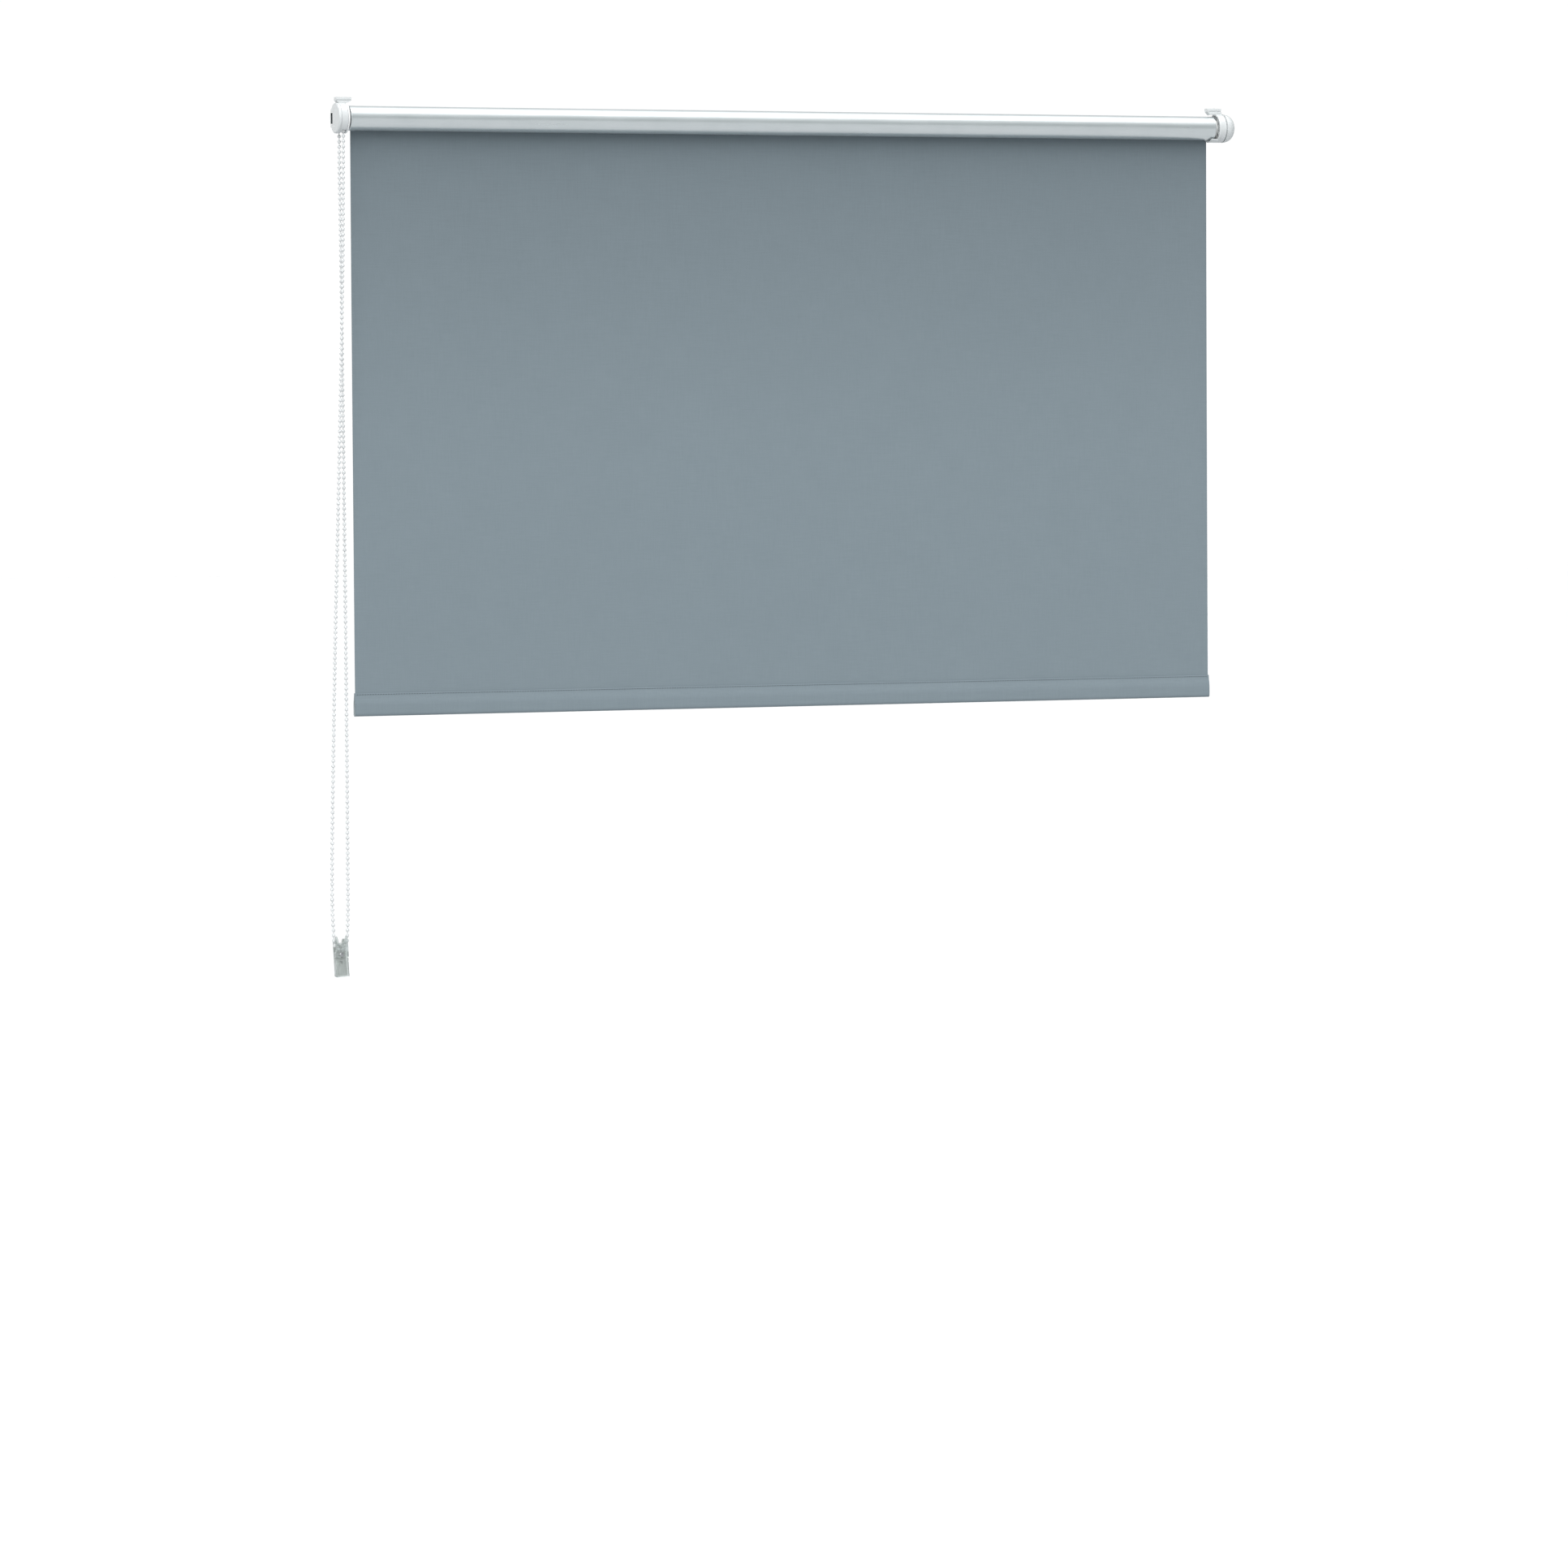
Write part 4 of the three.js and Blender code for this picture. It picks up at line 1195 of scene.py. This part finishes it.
def makeHemBar():
    radius = (barHigh.y - barLow.y) / 2
    bar = roundBar(barLow, barHigh, barLow.x, barHigh.x, radius - 0.05)
    finishPiece("hemBar", bar, "hem", [satinAluminium], ["hem_bar"])
    play = Vector((0.15, 0.2, 0.2))
    mouthLow, mouthHigh = barLow - play, barHigh + play
    for name, node in (("hemCapLeft", "hem_cap_left"), ("hemCapRight", "hem_cap_right")):
        low, high = limits(node)
        cap = roundBar(low, high, low.x, high.x, (high.y - low.y) / 2 - 0.05)
        ends = (mouthLow.x, high.x + 1) if name == "hemCapLeft" else (low.x - 1, mouthHigh.x)
        mouth = roundBar(mouthLow, mouthHigh, *ends, radius)
        shape = combine(cap, [], [mouth])
        finishPiece(name, shape, "hem", [whitePlastic], [node], 32, 0.2)


hemPocket = makeHemPocket()
hemStitches = makeStitches()
makeHemBar()

# ---- chain holder ----
print("blind: chain holder")
hookLow, hookHigh = limits("holder_hook")
baseLow, baseHigh = limits("holder_base")
padLow, padHigh = limits("holder_pad")
screwLow, screwHigh = limits("holder_screw")
# shapes are about the middle of the chain's loop, and the whole holder leans about that point
holderSet = {
    "width": 15.6,
    "lean": 3.0,
    "hornTop": 8.0,
    "hookBottom": -17.0,
    "plateTop": -17.6,
    "notch": -22.6,
    "plateBottom": -40.0,
    "cheek": 1.6,
    "core": 5.5,
    "ribs": 5,
    "ribWidth": 1.2,
    "screw": (-1.0, -13.7),
}


def placeHolder(shape):
    turnAboutAxis(shape, -holderSet["lean"], "Y")
    bmesh.ops.translate(shape, verts=shape.verts, vec=(holderX, 0, chainSet["loopHeight"]))
    return shape


def arcPoints(x, z, radius, start, end, steps):
    found = []
    for i in range(steps + 1):
        angle = math.radians(start + (end - start) * i / steps)
        found.append((x + radius * math.cos(angle), z + radius * math.sin(angle)))
    return found


def acrossRod(front, back, radius, place):
    rod = rodShape(front, back, radius, 32)
    turnAboutAxis(rod, 90, "Z")
    bmesh.ops.translate(rod, verts=rod.verts, vec=(place[0], 0, place[1]))
    return rod


def valleyCut(front, back):
    # the same rounded valley, for what lies behind the horns
    top = holderSet["hornTop"]
    side = [(4.6, top + 2), (4.0, top - 4.4), (3.3, top - 7.4), (2.4, top - 9.4), (1.2, top - 10.5)]
    outline = [*side, (0, top - 10.9), *[(-x, z) for x, z in reversed(side)]]
    return plateShape(outline, front - 1, back + 1)


def makeHolderHook():
    # two horns that slant into a rounded valley, the core that the chain runs under, and the foot
    half, top, bottom = holderSet["width"] / 2, holderSet["hornTop"], holderSet["hookBottom"]
    side = [
        (half - 1.2, bottom), (half, bottom + 1.2), (half - 0.1, top - 6), (half - 0.4, top - 1.6),
        (half - 1.2, top - 0.3), (half - 2.1, top), (half - 2.9, top - 0.8), (4.1, top - 4.4),
        (3.4, top - 7.4), (2.5, top - 9.6), (1.3, top - 10.8),
    ]
    outline = [*side, (0, top - 11.2), *[(-x, z) for x, z in reversed(side)]]
    front, back = hookLow.y, hookHigh.y
    cheek = plateShape(outline, front, front + holderSet["cheek"])
    core = plateShape(arcPoints(0, 0, holderSet["core"], 180, 360, 20), front + 0.5, back)
    footTop = -chainSet["loopRadius"] - chainSet["bead"] / 2 - touchGap
    foot = boxShape((-half + 0.2, front + 0.5, bottom), (half - 0.2, back, footTop))
    window = boxShape(
        (-half + 1.8, front - 1, footTop - 1.6), (half - 1.8, front + 0.7, footTop + 1.8)
    )
    screwHole = acrossRod(front - 2, back + 2, 1.6, holderSet["screw"])
    shape = placeHolder(combine(cheek, [core, foot], [window, screwHole]))
    looks = [holderPlastic]
    finishPiece("holderHook", shape, "root", looks, ["holder_hook"], 32, 0.22)


def makeHolderBase():
    half, top = holderSet["width"] / 2, holderSet["hornTop"] - 4
    blockTop, bottom = holderSet["plateTop"], holderSet["plateBottom"]
    plateFront = baseHigh.y - 2.5
    blockFront = baseLow.y + 1.4
    backOutline = rectangle(-half, bottom, half, top)
    back = plateShape(backOutline, plateFront, baseHigh.y, "Y", (1.2,) * 4, 4)
    blockOutline = rectangle(-half, bottom, half, blockTop)
    block = plateShape(blockOutline, blockFront, plateFront + 0.5, "Y", (0.8,) * 4, 4)
    notchAt = holderSet["notch"]
    sill = boxShape(
        (-half + 0.3, baseLow.y, bottom + 0.1), (half - 0.3, blockFront + 0.4, bottom + 2.8)
    )
    ribs, reach = [], holderSet["ribWidth"] / 2
    for i in range(holderSet["ribs"]):
        x = -half + 2 + (2 * half - 4) * i / (holderSet["ribs"] - 1)
        ribs.append(boxShape(
            (x - reach, baseLow.y + 0.3, bottom + 2), (x + reach, blockFront + 0.3, notchAt - 1.6)
        ))
    # a notch across the block's upper part, open to the right, that ends in a round hole
    notch = acrossRod(blockFront - 2, plateFront, 1.3, (-0.5, notchAt))
    groove = boxShape(
        (-4.5, blockFront - 1, notchAt - 0.2), (half + 1, blockFront + 1.6, notchAt + 0.8)
    )
    screwHole = acrossRod(blockFront - 4, baseHigh.y + 2, 1.3, holderSet["screw"])
    valley = valleyCut(plateFront, baseHigh.y)
    shape = placeHolder(combine(back, [block, sill, *ribs], [screwHole, notch, groove, valley]))
    looks = [holderPlastic]
    finishPiece("holderBase", shape, "root", looks, ["holder_base"], 32, 0.2)


def makeHolderScrew():
    front, back = screwLow.y, screwHigh.y
    shape = turnOutline([
        (front, 0), (front, 1.9), (front + 0.25, 2.4), (front + 0.9, 2.6), (front + 0.9, 1.2),
        (back - 1.2, 1.2), (back, 0.3), (back, 0),
    ], 40)
    shape = combine(shape, [], crossSlot(front, 0.6, 1.5, 0.3))
    turnAboutAxis(shape, 90, "Z")
    x, z = holderSet["screw"]
    bmesh.ops.translate(shape, verts=shape.verts, vec=(x, 0, z))
    placeHolder(shape)
    finishPiece("holderScrew", shape, "root", [springSteel], ["holder_screw"])


def makeHolderPad():
    half, top = holderSet["width"] / 2 - 1, holderSet["hornTop"] - 5
    bottom = holderSet["plateBottom"] + 1
    outline = rectangle(-half, bottom, half, top)
    shape = plateShape(outline, padLow.y, padHigh.y, "Y", (1.5,) * 4, 5)
    softenEdges(shape, 0.25, 3)
    shape = placeHolder(combine(shape, [], [valleyCut(padLow.y, padHigh.y)]))
    finishPiece("holderPad", shape, "root", [foamPad], ["holder_pad"])


makeHolderHook()
makeHolderBase()
makeHolderScrew()
makeHolderPad()

# ---- stage and light ----
print("blind: stage")
stageSet = {
    "floorDrop": 1.72,
    "floorSize": 400.0,
    "sunPower": 2.0,
    "sunAngle": 50,
    "sunFrom": (-0.6, -1.0, 0.62),
    "softboxPlace": (0, -0.6, 2.2),
    "softboxAim": (0, 0, -0.2),
    "softboxSize": (3.4, 1.4),
    "softboxPower": 25,
    "skyPower": 1.02,
    "backDimmed": 0.3,
    "whiteBehind": (0.75, 0.9),
    "floorSeen": (0.9, 0.9, 0.9),
    "floorMirrored": (0.54, 0.55, 0.56),
    # share of the way up from straight down, and the light from there
    "worldBands": [
        (0.0, (0.5, 0.5, 0.5)), (0.5, (0.36, 0.385, 0.39)), (0.59, (0.34, 0.37, 0.375)),
        (0.74, (0.46, 0.49, 0.5)), (0.82, (0.78, 0.79, 0.8)), (0.88, (1.15, 1.15, 1.15)),
        (1.0, (1.35, 1.35, 1.35)),
    ],
}


def addFloor():
    shape = bmesh.new()
    bmesh.ops.create_grid(shape, x_segments=1, y_segments=1, size=stageSet["floorSize"] / 2)
    bmesh.ops.translate(shape, verts=shape.verts, vec=(0, 0, -stageSet["floorDrop"]))
    mesh = meshOf(shape, "floor")
    material, tree, shader, place = startMaterial("paleFloor")
    seen = tree.nodes.new("ShaderNodeLightPath").outputs["Is Camera Ray"]
    shades = [(0.0, stageSet["floorMirrored"]), (1.0, stageSet["floorSeen"])]
    tree.links.new(rampOf(tree, seen, shades), shader.inputs["Base Color"])
    shader.inputs["Roughness"].default_value = 0.9
    mesh.materials.append(material)
    floor = bpy.data.objects.new("floor", mesh)
    scene.collection.objects.link(floor)


def linkLight(data, place, direction):
    light = bpy.data.objects.new(data.name, data)
    turn = direction.to_track_quat("-Z", "Y").to_matrix().to_4x4()
    light.matrix_world = Matrix.Translation(place) @ turn
    scene.collection.objects.link(light)


def addLights():
    sun = bpy.data.lights.new("wideSoftbox", "SUN")
    sun.energy = stageSet["sunPower"]
    sun.angle = math.radians(stageSet["sunAngle"])
    linkLight(sun, (0, 0, 0), -Vector(stageSet["sunFrom"]))
    softbox = bpy.data.lights.new("topSoftbox", "AREA")
    softbox.shape = "RECTANGLE"
    softbox.size, softbox.size_y = stageSet["softboxSize"]
    softbox.energy = stageSet["softboxPower"]
    place, aim = Vector(stageSet["softboxPlace"]), Vector(stageSet["softboxAim"])
    linkLight(softbox, place, aim - place)


def addWorld():
    # white behind the blind; in front of it, for reflections, a bright ceiling over a dimmer horizon
    world = bpy.data.worlds.new("studio")
    world.use_nodes = True
    tree = world.node_tree
    background = tree.nodes["Background"]
    background.inputs["Color"].default_value = (1, 1, 1, 1)
    background.inputs["Strength"].default_value = stageSet["skyPower"]
    place = tree.nodes.new("ShaderNodeTexCoord").outputs["Generated"]
    parts = tree.nodes.new("ShaderNodeSeparateXYZ")
    tree.links.new(place, parts.inputs[0])
    height = makeNode(tree, "ShaderNodeMapRange")
    height.inputs["From Min"].default_value = -1.0
    # towards the back the bands are met higher up, so the light there is dimmer
    back = mathOf(tree, "MAXIMUM", parts.outputs["Y"], 0.0)
    back = mathOf(tree, "MULTIPLY", back, stageSet["backDimmed"])
    tree.links.new(mathOf(tree, "SUBTRACT", parts.outputs["Z"], back), height.inputs["Value"])
    glow = rampOf(tree, height.outputs["Result"], stageSet["worldBands"])
    soft = makeNode(tree, "ShaderNodeBackground", Strength=1.0)
    tree.links.new(glow, soft.inputs["Color"])
    seen = tree.nodes.new("ShaderNodeLightPath")
    behind = makeNode(tree, "ShaderNodeMapRange")
    for end, value in zip(("From Min", "From Max"), stageSet["whiteBehind"]):
        behind.inputs[end].default_value = value
    tree.links.new(parts.outputs["Y"], behind.inputs["Value"])
    white = mathOf(tree, "MAXIMUM", seen.outputs["Is Camera Ray"], behind.outputs["Result"])
    mix = tree.nodes.new("ShaderNodeMixShader")
    tree.links.new(white, mix.inputs["Fac"])
    tree.links.new(soft.outputs[0], mix.inputs[1])
    tree.links.new(background.outputs[0], mix.inputs[2])
    tree.links.new(mix.outputs[0], tree.nodes["World Output"].inputs["Surface"])
    scene.world = world


addFloor()
addWorld()
addLights()

bpy.context.view_layer.update()
